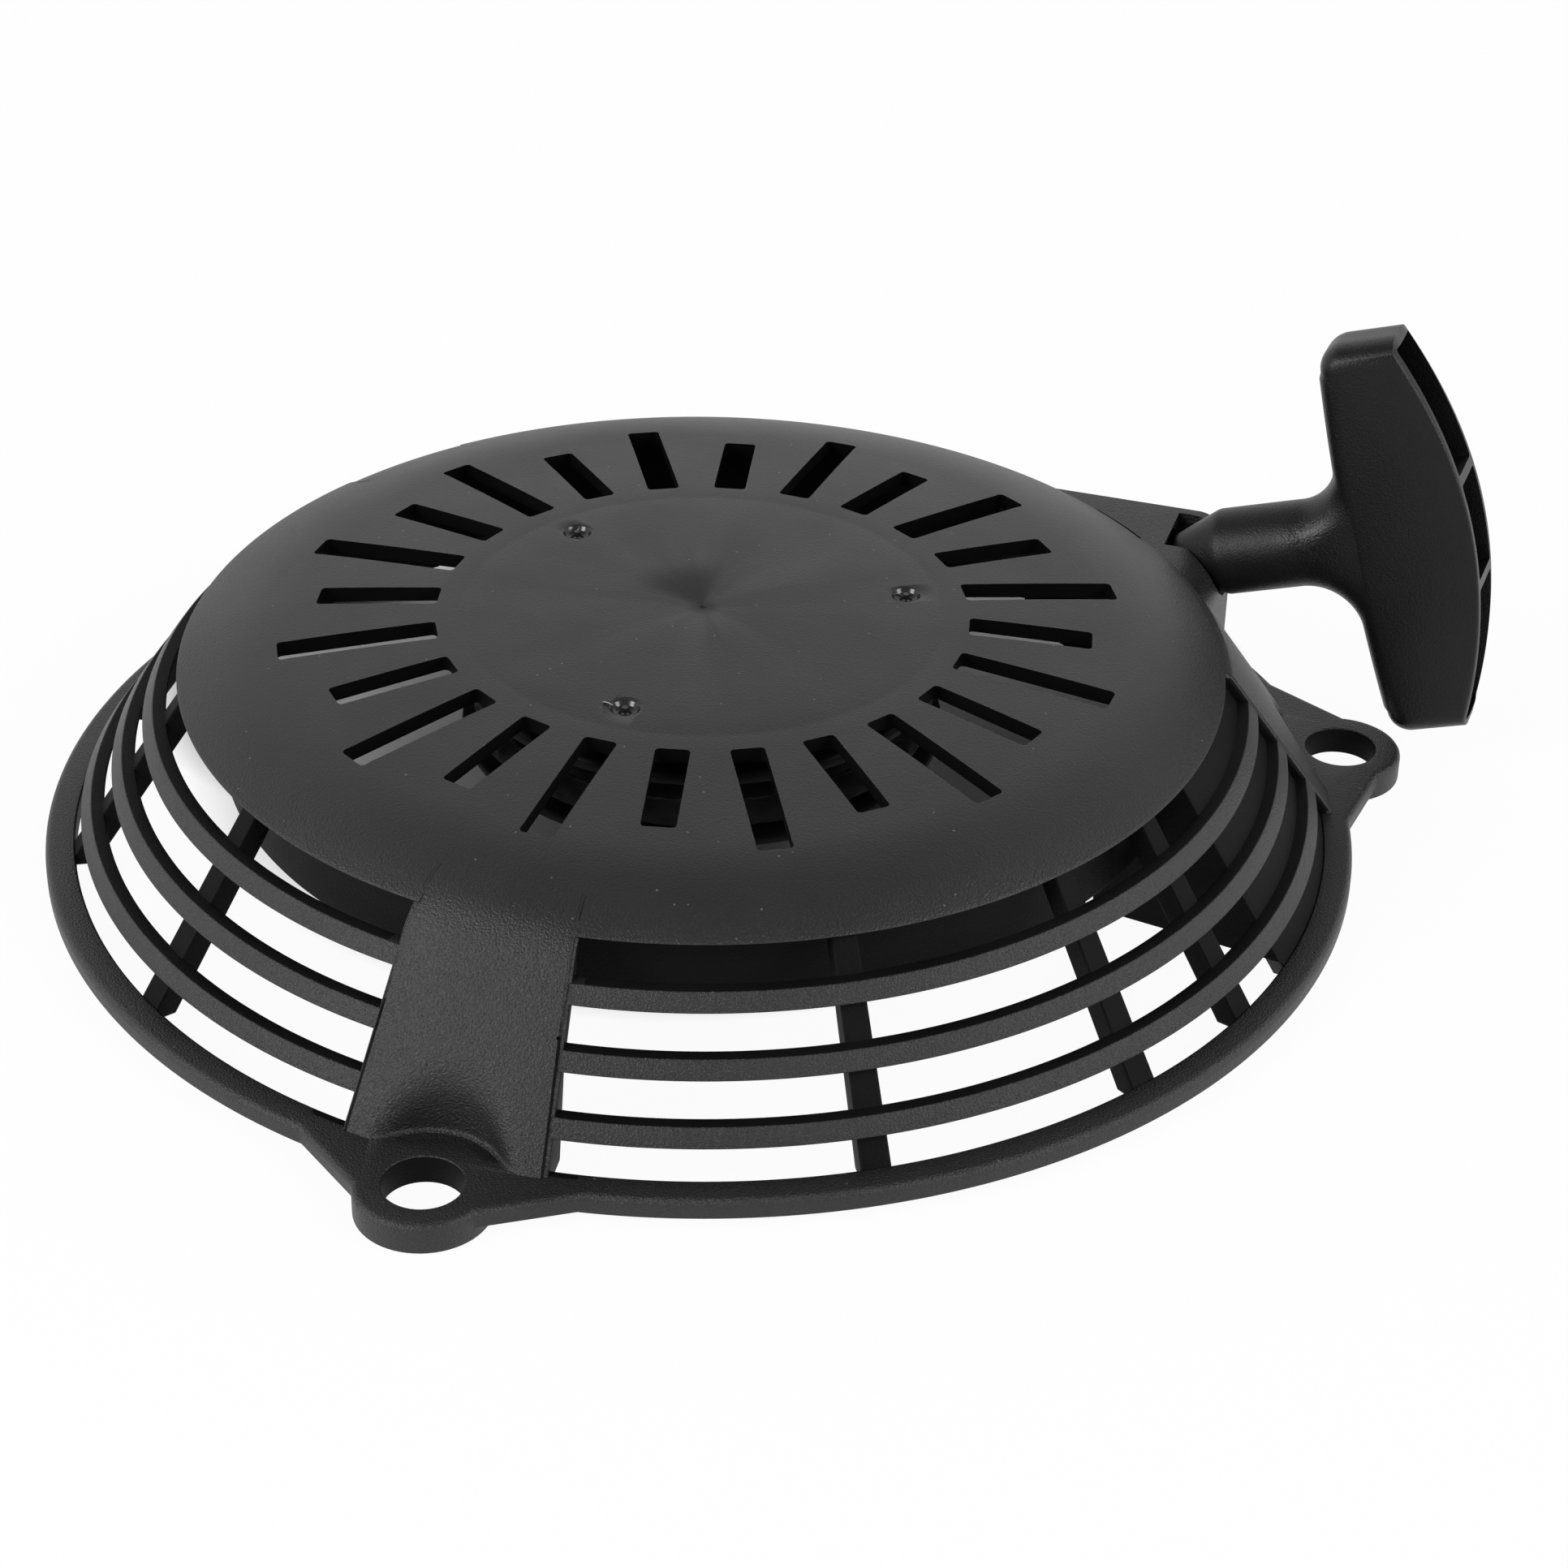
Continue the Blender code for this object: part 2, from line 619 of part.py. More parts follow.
def stem_cutters():
    """The notch for the handle's tip, with clearance all along the stem."""
    half = NOTCH_HALF_WIDTH
    lift = GUIDE_TOP + OVERSHOOT - HANDLE_TIP.z
    section = [(half, lift)] + arc((0, 0), half, 0, -180, 10) + [(-half, lift)]
    along = Matrix.Rotation(math.radians(GUIDE_YAW), 4, "Z")
    upright = Matrix(((0, 0, 1, 0), (1, 0, 0, 0), (0, 1, 0, 0), (0, 0, 0, 1)))
    place = along @ Matrix.Translation((0, NOTCH_OUT, HANDLE_TIP.z)) @ upright
    notch = prism("notch", section, GUIDE_END - NOTCH_DEPTH, GUIDE_END + OVERSHOOT, place=place)
    tip_radius = STEM_TIP_RADIUS + STEM_CLEARANCE
    stem_radius = STEM_RADIUS + STEM_CLEARANCE
    tip = HANDLE_TIP - PULL * STEM_CLEARANCE
    taper_end = HANDLE_TIP + PULL * STEM_TAPER_LENGTH
    stem_end = HANDLE_TIP + PULL * (BAR_FACE - BAR_FILLET)
    seat = rod("stem_seat", tip_radius, tip, taper_end, end_radius=stem_radius)
    clear = rod("stem_clearance", stem_radius, taper_end - PULL * JOIN, stem_end)
    return [notch, seat, clear]


def rope_cutters(entry):
    """The eyelet's hole through the box's end block, and the rope's slot through the baffle ring."""
    axis = eyelet_axis(entry)
    reach = axis * (GUIDE_BLOCK_DEPTH - NOTCH_DEPTH + EYELET_LENGTH / 2)
    eyelet_hole = rod("eyelet_hole", EYELET_RADIUS + GAP, ROPE_BEND - reach, ROPE_BEND + reach)
    inward = (ROPE_BEND - entry).normalized()
    side = inward.cross(Vector((0, 0, 1))) * 2 * ROPE_RADIUS
    crossing = entry + inward * math.sqrt(BAFFLE_RADIUS**2 - WINDING_RADIUS**2)
    near = crossing - inward * 3 * BAFFLE_THICKNESS
    far = crossing + inward * 3 * BAFFLE_THICKNESS
    corners = [near - side, far - side, far + side, near + side]
    baffle_slot = prism(
        "baffle_slot",
        [(corner.x, corner.y) for corner in corners],
        BAFFLE_BOTTOM - OVERSHOOT,
        SKIRT_BOTTOM - OVERSHOOT,
    )
    return [eyelet_hole, baffle_slot]


def tangent_point():
    """Where the rope leaves the reel for the eyelet, at the height of the upper loop."""
    bend_angle = math.atan2(ROPE_BEND.y, ROPE_BEND.x)
    distance = math.hypot(ROPE_BEND.x, ROPE_BEND.y)
    angle = bend_angle + math.acos(WINDING_RADIUS / distance)
    return angle, round_z(WINDING_RADIUS, angle, HIGH_LOOP)


def eyelet_axis(entry):
    """The eyelet stands square to the middle of the rope's bend."""
    return ((ROPE_BEND - entry).normalized() + PULL).normalized()


def make_housing(finish):
    """The one moulding that carries everything else."""
    housing = turned("housing", disc_profile(), finish)
    added = []
    for index in range(BAND_COUNT):
        top = BAND_FIRST_TOP - index * BAND_PITCH
        low = top - BAND_HEIGHT
        profile = [
            (cone(top), top),
            (cone(low), low),
            (cone(low) - BAND_THICKNESS, low),
            (cone(top) - BAND_THICKNESS, top),
        ]
        added.append(turned(f"band_{index + 1}", profile))
    ring_inner = BASE_RADIUS - BASE_RING_WIDTH
    ring = [
        (ring_inner, BASE_RING_TOP),
        (BASE_RADIUS - BASE_RING_CHAMFER, BASE_RING_TOP),
        (BASE_RADIUS, BASE_RING_TOP - BASE_RING_CHAMFER),
        (BASE_RADIUS, BASE_RING_BOTTOM),
        (ring_inner, BASE_RING_BOTTOM),
    ]
    added.append(turned("base_ring", ring))
    side = strut_profile(STRUT_SETBACK, STRUT_DEPTH)
    for angle in STRUT_ANGLES:
        span = (angle - STRUT_HALF_ANGLE, angle + STRUT_HALF_ANGLE)
        added.append(sector(f"strut_{angle:.0f}", side, [span] * len(side), 1))
    closed = strut_profile(STRUT_SETBACK, CLOSED_DEPTH)
    added.append(sector("closed_wall", closed, [CLOSED_SPAN] * len(closed), 8))
    rib = rib_profile()
    added.append(sector("rib", rib, [(RIB_ANGLE - RIB_HALF_ANGLE, RIB_ANGLE + RIB_HALF_ANGLE)] * len(rib), 1))
    lug_angles = [360 * index / LUG_COUNT for index in range(LUG_COUNT)]
    pad = pad_profile()
    for angle in lug_angles[1:]:
        span = (angle - PAD_HALF_ANGLE, angle + PAD_HALF_ANGLE)
        added.append(sector(f"pad_{angle:.0f}", pad, [span] * len(pad), 4))
    spans = [(math.degrees(math.asin(PANEL_EDGE_Y / radius)), PANEL_END_ANGLE) for radius, _ in pad]
    added.append(sector("panel", pad, spans, 6))
    added += guide_pieces()
    cuts = [slot_cutters()] + guide_cutters(tangent_point()[1])
    for angle in lug_angles:
        added += lug_pieces(angle)
        cuts += lug_cutters(angle)
    combine_all(housing, added, "UNION")
    combine_all(housing, cuts, "DIFFERENCE")
    return housing


def make_reel(finish):
    """Rope reel with the spring pocket on top, the pawls' recesses below and a knot pocket."""
    bore = POST_RADIUS + RUNNING_GAP
    wall_top = dome(SPRING_POCKET_RADIUS) - DISC_WALL - DISC_TO_REEL
    wall = SPRING_POCKET_RADIUS + SPRING_POCKET_WALL
    upper = GROOVE_TOP + UPPER_FLANGE_THICKNESS
    reel = turned(
        "reel",
        [
            (bore, REEL_BOTTOM),
            (bore, SPRING_FLOOR),
            (SPRING_POCKET_RADIUS, SPRING_FLOOR),
            (SPRING_POCKET_RADIUS, wall_top),
            (wall, wall_top),
            (wall, upper),
            (REEL_RADIUS, upper),
            (REEL_RADIUS, GROOVE_TOP),
            (GROOVE_RADIUS, GROOVE_TOP),
            (GROOVE_RADIUS, GROOVE_BOTTOM),
            (REEL_RADIUS, GROOVE_BOTTOM),
            (REEL_RADIUS, REEL_BOTTOM),
        ],
        finish,
        segments=REEL_SEGMENTS,
    )
    below = Vector((0, 0, -OVERSHOOT))
    cuts = []
    for turn in (1, -1):
        foot = Vector((turn * PAWL_CIRCLE, 0, REEL_BOTTOM))
        recess_top = foot + Vector((0, 0, SPRING_RECESS_DEPTH))
        cuts.append(rod(f"spring_recess_{turn}", SPRING_RECESS_RADIUS, foot + below, recess_top))
        pin_top = foot + Vector((0, 0, PAWL_BOTTOM + PIN_LENGTH + GAP - REEL_BOTTOM))
        cuts.append(rod(f"pin_hole_{turn}", PIN_RADIUS + GAP, foot + below, pin_top, segments=SMALL_SEGMENTS))
    knot = Vector((0, KNOT_PLACE, REEL_BOTTOM))
    pocket_top = knot + Vector((0, 0, KNOT_POCKET_DEPTH))
    cuts.append(rod("knot_pocket", KNOT_RADIUS + 2 * GAP, knot + below, pocket_top))
    hole = Vector((0, KNOT_PLACE - ROPE_RADIUS, LOW_LOOP))
    hole_end = hole + Vector((0, GROOVE_RADIUS, 0))
    hole_radius = ROPE_RADIUS + ROPE_HOLE_CLEARANCE
    cuts.append(rod("knot_hole", hole_radius, hole, hole_end, segments=SMALL_SEGMENTS))
    return combine_all(reel, cuts, "DIFFERENCE")


def make_main_spring(finish):
    """Flat strip wound from the post out to the pocket's wall."""
    bottom = SPRING_FLOOR + GAP
    top = dome(SPRING_POCKET_RADIUS) - DISC_WALL - DISC_TO_REEL - GAP
    inner = POST_RADIUS + GAP + SPRING_STRIP / 2
    outer = SPRING_POCKET_RADIUS - GAP - SPRING_STRIP / 2
    shape = bmesh.new()
    middle = []
    rows = []
    for index in range(SPRING_TURNS * LOOP_POINTS + 1):
        share = index / (SPRING_TURNS * LOOP_POINTS)
        angle = math.tau * SPRING_TURNS * share
        radius = inner + (outer - inner) * share
        out = Vector((math.cos(angle), math.sin(angle), 0))
        middle.append(out * radius)
        row = []
        for reach, height in ((-1, bottom), (1, bottom), (1, top), (-1, top)):
            place = out * (radius + reach * SPRING_STRIP / 2)
            row.append(shape.verts.new((place.x, place.y, height)))
        rows.append(row)
    for first, second in zip(rows, rows[1:]):
        for i in range(4):
            shape.faces.new((first[i], first[(i + 1) % 4], second[(i + 1) % 4], second[i]))
    shape.faces.new(rows[0])
    shape.faces.new(rows[-1])
    print_self_gap("main_spring", middle, SPRING_STRIP, LOOP_POINTS)
    return new_object("main_spring", shape, finish)


def make_winding(finish):
    """Rope on the reel: a plain core of inner layers, and the outer layer as two loops that step up once."""
    core_out = WINDING_RADIUS - ROPE_RADIUS - ROPE_LOOP_GAP
    turned(
        "rope_inner_layers",
        [
            (GROOVE_RADIUS + GAP, GROOVE_BOTTOM + GAP),
            (GROOVE_RADIUS + GAP, GROOVE_TOP - GAP),
            (core_out, GROOVE_TOP - GAP),
            (core_out, GROOVE_BOTTOM + GAP),
        ],
        finish,
        segments=REEL_SEGMENTS,
    )
    end_angle, end_point = tangent_point()
    step_points = LOOP_POINTS // 4
    low_points = 3 * step_points
    high_points = 5 * step_points // 2
    count = low_points + step_points + high_points
    points = []
    for index in range(count + 1):
        angle = end_angle + math.tau * (count - index) / LOOP_POINTS
        share = min(max((index - low_points) / step_points, 0), 1)
        height = LOW_LOOP + ROPE_PITCH * share * share * (3 - 2 * share)
        points.append(round_z(WINDING_RADIUS, angle, height))
    run = (ROPE_BEND - end_point).normalized()
    points.append(end_point + run * 2 * ROPE_RADIUS)
    print_self_gap("rope_outer_layer", points, 2 * ROPE_RADIUS, LOOP_POINTS)
    tube("rope_outer_layer", points, ROPE_RADIUS, finish)
    return points[-1], run


def make_rope_run(finish, start, run):
    """Rope from the reel to the eyelet, round its bend and up to the handle's tip."""
    first = start + run * GAP
    bend_in = ROPE_BEND - run * BEND_RUN
    bend_out = HANDLE_TIP - PULL * JOIN
    count = 6
    points = [first + (bend_in - first) * i / count for i in range(count)]
    for i in range(count + 1):
        t = i / count
        points.append(bend_in * (1 - t) ** 2 + ROPE_BEND * 2 * t * (1 - t) + bend_out * t**2)
    points.append(HANDLE_TIP)
    tube("rope_run", points, ROPE_RADIUS, finish)


def make_eyelet(finish, entry):
    """Steel eyelet that the rope turns in."""
    half = EYELET_LENGTH / 2
    lip = (EYELET_RADIUS - EYELET_BORE) / 2
    eyelet = turned(
        "rope_eyelet",
        [
            (EYELET_BORE, half - lip),
            (EYELET_BORE + lip, half),
            (EYELET_RADIUS, half - lip / 2),
            (EYELET_RADIUS, lip / 2 - half),
            (EYELET_BORE + lip, -half),
            (EYELET_BORE, lip - half),
        ],
        finish,
        segments=PIN_SEGMENTS,
    )
    eyelet.location = ROPE_BEND
    eyelet.rotation_euler = eyelet_axis(entry).to_track_quat("Z", "Y").to_euler()


def pawl_outline():
    """Plan of a pawl about its pivot, with its arm along -Y at rest."""
    eye = PAWL_EYE_RADIUS
    tip = PAWL_LENGTH
    return arc((0, 0), eye, -8, 188, 9) + [
        (-eye * 0.96, -tip * 0.45),
        (-eye * 0.60, -tip * 0.76),
        (-eye * 0.10, -tip),
        (eye * 0.72, -tip * 0.98),
    ]


def make_pawl(name, side, finish):
    """One pawl with its peg, at rest on its pin."""
    pawl = prism(name, pawl_outline(), PAWL_BOTTOM, PAWL_TOP, finish)
    peg_low = GUIDE_PLATE_BOTTOM + GAP
    peg_high = PAWL_BOTTOM + JOIN
    peg_ends = [(*PEG_PLACE, height) for height in (peg_low, peg_high)]
    peg = rod(f"{name}_peg", PEG_RADIUS, *peg_ends, segments=SMALL_SEGMENTS)
    eye_ends = [(0, 0, height) for height in (PAWL_BOTTOM - OVERSHOOT, PAWL_TOP + OVERSHOOT)]
    eye = rod(f"{name}_eye", PIN_RADIUS + RUNNING_GAP, *eye_ends)
    combine(pawl, peg, "UNION")
    combine(pawl, eye, "DIFFERENCE")
    for made in (pawl, peg, eye):
        made.location = (side * PAWL_CIRCLE, 0, 0)
        made.rotation_euler = (0, 0, 0 if side > 0 else math.pi)


def make_pawl_pin(name, side, finish):
    """Pivot pin pressed into the reel."""
    low = Vector((side * PAWL_CIRCLE, 0, PAWL_BOTTOM))
    rod(name, PIN_RADIUS, low, low + Vector((0, 0, PIN_LENGTH)), finish=finish, segments=SMALL_SEGMENTS)


def make_pawl_spring(name, side, finish):
    """Torsion spring in the reel's recess, with one leg out over the pawl."""
    per_turn = 10
    count = PAWL_COIL_TURNS * per_turn
    top = REEL_BOTTOM + SPRING_RECESS_DEPTH - GAP - PAWL_WIRE
    leg_height = REEL_BOTTOM - PAWL_TOP_GAP / 2
    pitch = min(PAWL_COIL_PITCH, (top - leg_height) / PAWL_COIL_TURNS)
    points = []
    for index in range(count + 1):
        angle = math.radians(180) + math.tau * index / per_turn
        height = leg_height + pitch * index / per_turn
        points.append(round_z(PAWL_COIL_RADIUS, angle, height))
    print_self_gap(name, points, 2 * PAWL_WIRE, per_turn)
    leg = points[0] + Vector((PAWL_WIRE, -PAWL_LENGTH / 2, 0))
    end = points[-1] + (points[-1] - points[-2]).normalized() * 2 * PAWL_WIRE
    coil = tube(name, [leg] + points + [Vector((end.x, end.y, points[-1].z))], PAWL_WIRE, finish)
    coil.location = (side * PAWL_CIRCLE, 0, 0)
    coil.rotation_euler = (0, 0, 0 if side > 0 else math.pi)


def make_ratchet_guide(finish):
    """Plate under the pawls. Each cam slot is the path of a pawl's peg, seen from the plate as it lags."""
    inner = POST_RADIUS + RUNNING_GAP
    plate = turned(
        "ratchet_guide",
        [
            (inner, GUIDE_PLATE_TOP),
            (GUIDE_PLATE_RADIUS, GUIDE_PLATE_TOP),
            (GUIDE_PLATE_RADIUS, GUIDE_PLATE_BOTTOM),
            (inner, GUIDE_PLATE_BOTTOM),
        ],
        finish,
        segments=REEL_SEGMENTS,
    )
    steps = 8
    path = []
    for index in range(steps + 1):
        share = index / steps
        peg = Vector(turned_about_z([PEG_PLACE], PAWL_SWING * share)[0]) + Vector((PAWL_CIRCLE, 0))
        path.append(Vector(turned_about_z([peg], -GUIDE_PLATE_LAG * share)[0]))
    outline = slot_outline(path, PEG_RADIUS + CAM_CLEARANCE)
    low = GUIDE_PLATE_BOTTOM - OVERSHOOT
    high = GUIDE_PLATE_TOP + OVERSHOOT
    cuts = [prism(f"cam_slot_{turn:.0f}", turned_about_z(outline, turn), low, high) for turn in (0.0, 180.0)]
    return combine_all(plate, cuts, "DIFFERENCE")


def slot_outline(path, half_width):
    """Outline of a round-ended slot along a path in the plane."""
    left = []
    right = []
    for index, point in enumerate(path):
        ahead = path[min(index + 1, len(path) - 1)] - path[max(index - 1, 0)]
        side = Vector((-ahead.y, ahead.x)).normalized() * half_width
        left.append(tuple(point + side))
        right.append(tuple(point - side))
    end = path[-1] - path[-2]
    start = path[0] - path[1]
    end_turn = math.degrees(math.atan2(end.y, end.x))
    start_turn = math.degrees(math.atan2(start.y, start.x))
    end_cap = arc(path[-1], half_width, end_turn - 90, end_turn + 90, 6)[1:-1]
    start_cap = arc(path[0], half_width, start_turn - 90, start_turn + 90, 6)[1:-1]
    return right + end_cap + left[::-1] + start_cap


def make_friction_spring(finish):
    """Coil spring round the post, between the reel and the ratchet guide."""
    per_turn = 10
    count = FRICTION_TURNS * per_turn
    rise = FRICTION_PITCH * FRICTION_TURNS
    start = (GUIDE_PLATE_TOP + REEL_BOTTOM - rise) / 2
    points = []
    for index in range(count + 1):
        angle = math.tau * index / per_turn
        height = start + FRICTION_PITCH * index / per_turn
        points.append(round_z(FRICTION_COIL_RADIUS, angle, height))
    print_self_gap("friction_spring", points, 2 * FRICTION_WIRE, per_turn)
    tube("friction_spring", points, FRICTION_WIRE, finish)


def make_screw(finish, washer_finish):
    """Flanged hex screw up the post, and the washer under it."""
    hole = SCREW_RADIUS + 2 * GAP
    low = WASHER_TOP - WASHER_THICKNESS
    turned(
        "thrust_washer",
        [(hole, WASHER_TOP), (WASHER_RADIUS, WASHER_TOP), (WASHER_RADIUS, low), (hole, low)],
        washer_finish,
        segments=HOLE_SEGMENTS,
    )
    flange_low = SCREW_TOP - SCREW_FLANGE_THICKNESS
    head_low = flange_low - SCREW_HEAD_HEIGHT
    screw = turned(
        "centre_screw",
        [
            (0.0, POST_BORE_TOP - SCREW_TIP_GAP),
            (SCREW_RADIUS, POST_BORE_TOP - SCREW_TIP_GAP),
            (SCREW_RADIUS, SCREW_TOP),
            (SCREW_FLANGE_RADIUS, SCREW_TOP),
            (SCREW_FLANGE_RADIUS, flange_low),
            (0.0, flange_low),
        ],
        finish,
        segments=HOLE_SEGMENTS,
    )
    hexagon = arc((0, 0), SCREW_HEAD_FLATS / math.sqrt(3), 0, 300, 5)
    head = prism("screw_head", hexagon, head_low, flange_low + JOIN)
    combine(screw, head, "UNION")


def make_reel_knot(finish):
    """Knot in the reel's underside, with the rope's way out to the groove."""
    low = REEL_BOTTOM + GAP
    high = REEL_BOTTOM + KNOT_POCKET_DEPTH - GAP
    half = (high - low) / 2
    bulge = [
        (KNOT_RADIUS * math.sin(math.radians(a)), low + half - half * math.cos(math.radians(a)))
        for a in (0, 30, 60, 90, 120, 150, 180)
    ]
    bulge[0] = (0.0, low)
    bulge[-1] = (0.0, high)
    knot = turned("rope_reel_knot", bulge, finish, segments=SMALL_SEGMENTS)
    reach = GROOVE_RADIUS - KNOT_PLACE
    stub = rod("knot_stub", ROPE_RADIUS, (0, 0, LOW_LOOP), (0, reach, LOW_LOOP), segments=SMALL_SEGMENTS)
    combine(knot, stub, "UNION")
    for made in (knot, stub):
        made.location = (0, KNOT_PLACE, 0)


def make_handle(finish):
    """T handle, hollow on the pull side: X runs along the pull from the stem's tip, Z along the bar."""
    half = BAR_HALF_LENGTH
    upper = arc((BAR_FACE + BAR_FACE_BOW + BAR_CORNER, half - BAR_CORNER), BAR_CORNER, 180, 90, 4)
    face = []
    crown = []
    for share in (-0.5, -0.25, 0.0, 0.25, 0.5):
        face.append((BAR_FACE + BAR_FACE_BOW * share**2, half * share))
    for index in range(11):
        share = 1 - index / 5
        crown.append((BAR_CROWN - BAR_END_DROP * share**2, half * share))
    lower = [(x, -z) for x, z in upper[::-1]]
    upright = Matrix(((1, 0, 0, 0), (0, 0, -1, 0), (0, 1, 0, 0), (0, 0, 0, 1)))
    shape = bmesh.new()
    add_prism(shape, upper + crown + lower + face, -BAR_HALF_THICKNESS, BAR_HALF_THICKNESS, upright)
    open_side = BAR_CROWN - BAR_END_DROP - 1e-6
    held = []
    for edge in shape.edges:
        first, second = (corner.co for corner in edge.verts)
        if first.y * second.y > 0 and min(first.x, second.x) < open_side:
            held.append(edge)
    bmesh.ops.bevel(shape, geom=held, offset=BAR_EDGE_ROUND, segments=3, profile=0.5, affect="EDGES")
    handle = new_object("handle", shape, finish)
    stem = make_stem()
    bore_ends = [(x, 0, 0) for x in (-OVERSHOOT, POCKET_X + OVERSHOOT)]
    bore = rod("rope_bore", ROPE_RADIUS + ROPE_HOLE_CLEARANCE, *bore_ends)
    side = BAR_HALF_THICKNESS - BAR_WALL
    near = RIB_CENTRE - RIB_HALF_THICKNESS
    far = RIB_CENTRE + RIB_HALF_THICKNESS
    tip = half - BAR_WALL
    mouth = BAR_CROWN + OVERSHOOT
    pockets = []
    for low, high in ((-near, near), (far, tip), (-tip, -far)):
        section = [(POCKET_X, low), (mouth, low), (mouth, high), (POCKET_X, high)]
        pockets.append(prism(f"pocket_{1000 * low:.0f}", section, -side, side, None, upright))
    combine(handle, stem, "UNION")
    combine_all(handle, [bore] + pockets, "DIFFERENCE")
    for made in [handle, stem, bore] + pockets:
        seat_on_pull(made)


def make_stem():
    """Round stem with a tapered tip, which spreads along the bar in two fillets where it joins it."""
    slim = BAR_HALF_THICKNESS - JOIN
    sections = [(0.0, STEM_TIP_RADIUS, 0.0), (STEM_TAPER_LENGTH, STEM_RADIUS, 0.0)]
    start = BAR_FACE - BAR_FILLET
    for share in (0.0, 0.4, 0.7, 0.9, 1.0):
        spread = BAR_FILLET * (1 - math.sqrt(1 - share**2))
        sections.append((start + BAR_FILLET * share, STEM_RADIUS + (slim - STEM_RADIUS) * share, spread))
    sections.append((BAR_FACE + BAR_FLOOR / 2, slim - JOIN, BAR_FILLET))
    count = 24
    shape = bmesh.new()
    rows = []
    for x, radius, spread in sections:
        row = []
        for index in range(count):
            angle = math.tau * (index + 0.5) / count
            along = radius * math.cos(angle) + math.copysign(spread, math.cos(angle))
            row.append(shape.verts.new((x, radius * math.sin(angle), along)))
        rows.append(row)
    for first, second in zip(rows, rows[1:]):
        for i in range(count):
            j = (i + 1) % count
            shape.faces.new((first[i], first[j], second[j], second[i]))
    shape.faces.new(rows[0])
    shape.faces.new(rows[-1])
    return new_object("stem", shape)


def seat_on_pull(made):
    """Places a piece that was modelled along the pull from the stem's tip."""
    made.location = HANDLE_TIP
    made.rotation_euler = HANDLE_TURN


def make_handle_rope(finish, washer_finish):
    """Rope inside the stem with its knot, and the washer that the knot pulls against."""
    lay_down = Matrix.Rotation(math.radians(90), 4, "Y")
    washer_low = POCKET_X + GAP
    washer_high = washer_low + KNOT_WASHER_THICKNESS
    washer_hole = ROPE_RADIUS + ROPE_HOLE_CLEARANCE
    washer = turned(
        "knot_washer",
        [
            (washer_hole, washer_high),
            (KNOT_WASHER_RADIUS, washer_high),
            (KNOT_WASHER_RADIUS, washer_low),
            (washer_hole, washer_low),
        ],
        washer_finish,
        segments=PIN_SEGMENTS,
    )
    knot_low = washer_high + GAP
    middle = knot_low + HANDLE_KNOT_LENGTH / 2
    profile = [(0.0, GAP), (ROPE_RADIUS, GAP), (ROPE_RADIUS, knot_low)]
    for angle in (35, 65, 90, 120, 150):
        lean = math.radians(angle)
        height = middle - HANDLE_KNOT_LENGTH / 2 * math.cos(lean)
        profile.append((HANDLE_KNOT_RADIUS * math.sin(lean), height))
    profile.append((0.0, knot_low + HANDLE_KNOT_LENGTH))
    rope = turned("rope_handle_end", profile, finish, segments=SMALL_SEGMENTS)
    for made in (washer, rope):
        made.data.transform(lay_down)
        seat_on_pull(made)


def main():
    for old in list(bpy.data.objects):
        bpy.data.objects.remove(old)
    housing_black = material("housing_black", (0.030, 0.030, 0.031), 0.55)
    handle_black = material("handle_black", (0.016, 0.016, 0.017), 0.45)
    reel_black = material("reel_black", (0.022, 0.022, 0.023), 0.40)
    guide_grey = material("guide_grey", (0.060, 0.060, 0.062), 0.45)
    rope_black = material("rope_black", (0.020, 0.020, 0.021), 0.85)
    spring_steel = material("spring_steel", (0.250, 0.260, 0.280), 0.35, 1.0)
    pawl_steel = material("pawl_steel", (0.300, 0.300, 0.310), 0.40, 1.0)
    zinc_plate = material("zinc_plate", (0.550, 0.560, 0.580), 0.30, 1.0)
    make_housing(housing_black)
    make_reel(reel_black)
    make_main_spring(spring_steel)
    start, run = make_winding(rope_black)
    make_rope_run(rope_black, start, run)
    make_eyelet(zinc_plate, tangent_point()[1])
    make_reel_knot(rope_black)
    for letter, side in (("a", 1), ("b", -1)):
        make_pawl(f"pawl_{letter}", side, pawl_steel)
        make_pawl_pin(f"pawl_pin_{letter}", side, zinc_plate)
        make_pawl_spring(f"pawl_spring_{letter}", side, spring_steel)
    make_ratchet_guide(guide_grey)
    make_friction_spring(spring_steel)
    make_screw(zinc_plate, zinc_plate)
    make_handle(handle_black)
    make_handle_rope(rope_black, zinc_plate)


main()
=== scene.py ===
"""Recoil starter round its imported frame: fine mouldings, wound rope, springs and finishes, on a pale stage.

Metres, +Z up along the reel's axis. The first lug is on +X.
"""

import math

import bmesh
import bpy
import numpy as np
from mathutils import Euler, Matrix, Vector


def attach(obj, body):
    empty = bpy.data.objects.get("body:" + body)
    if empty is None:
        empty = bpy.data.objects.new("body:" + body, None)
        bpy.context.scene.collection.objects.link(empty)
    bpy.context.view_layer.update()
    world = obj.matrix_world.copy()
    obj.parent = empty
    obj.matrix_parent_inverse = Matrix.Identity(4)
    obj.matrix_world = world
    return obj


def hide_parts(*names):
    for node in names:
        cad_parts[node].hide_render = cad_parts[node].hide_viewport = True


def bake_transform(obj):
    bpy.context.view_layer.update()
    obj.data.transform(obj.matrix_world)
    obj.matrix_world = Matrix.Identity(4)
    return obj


bl_info = {
    "name": "Recoil Starter",
    "version": (1, 0, 0),
    "blender": (4, 5, 0),
    "location": "View3D > Sidebar > Starter",
    "description": "Builds the visual pieces of a recoil starter round its packed frame",
    "category": "Object",
}

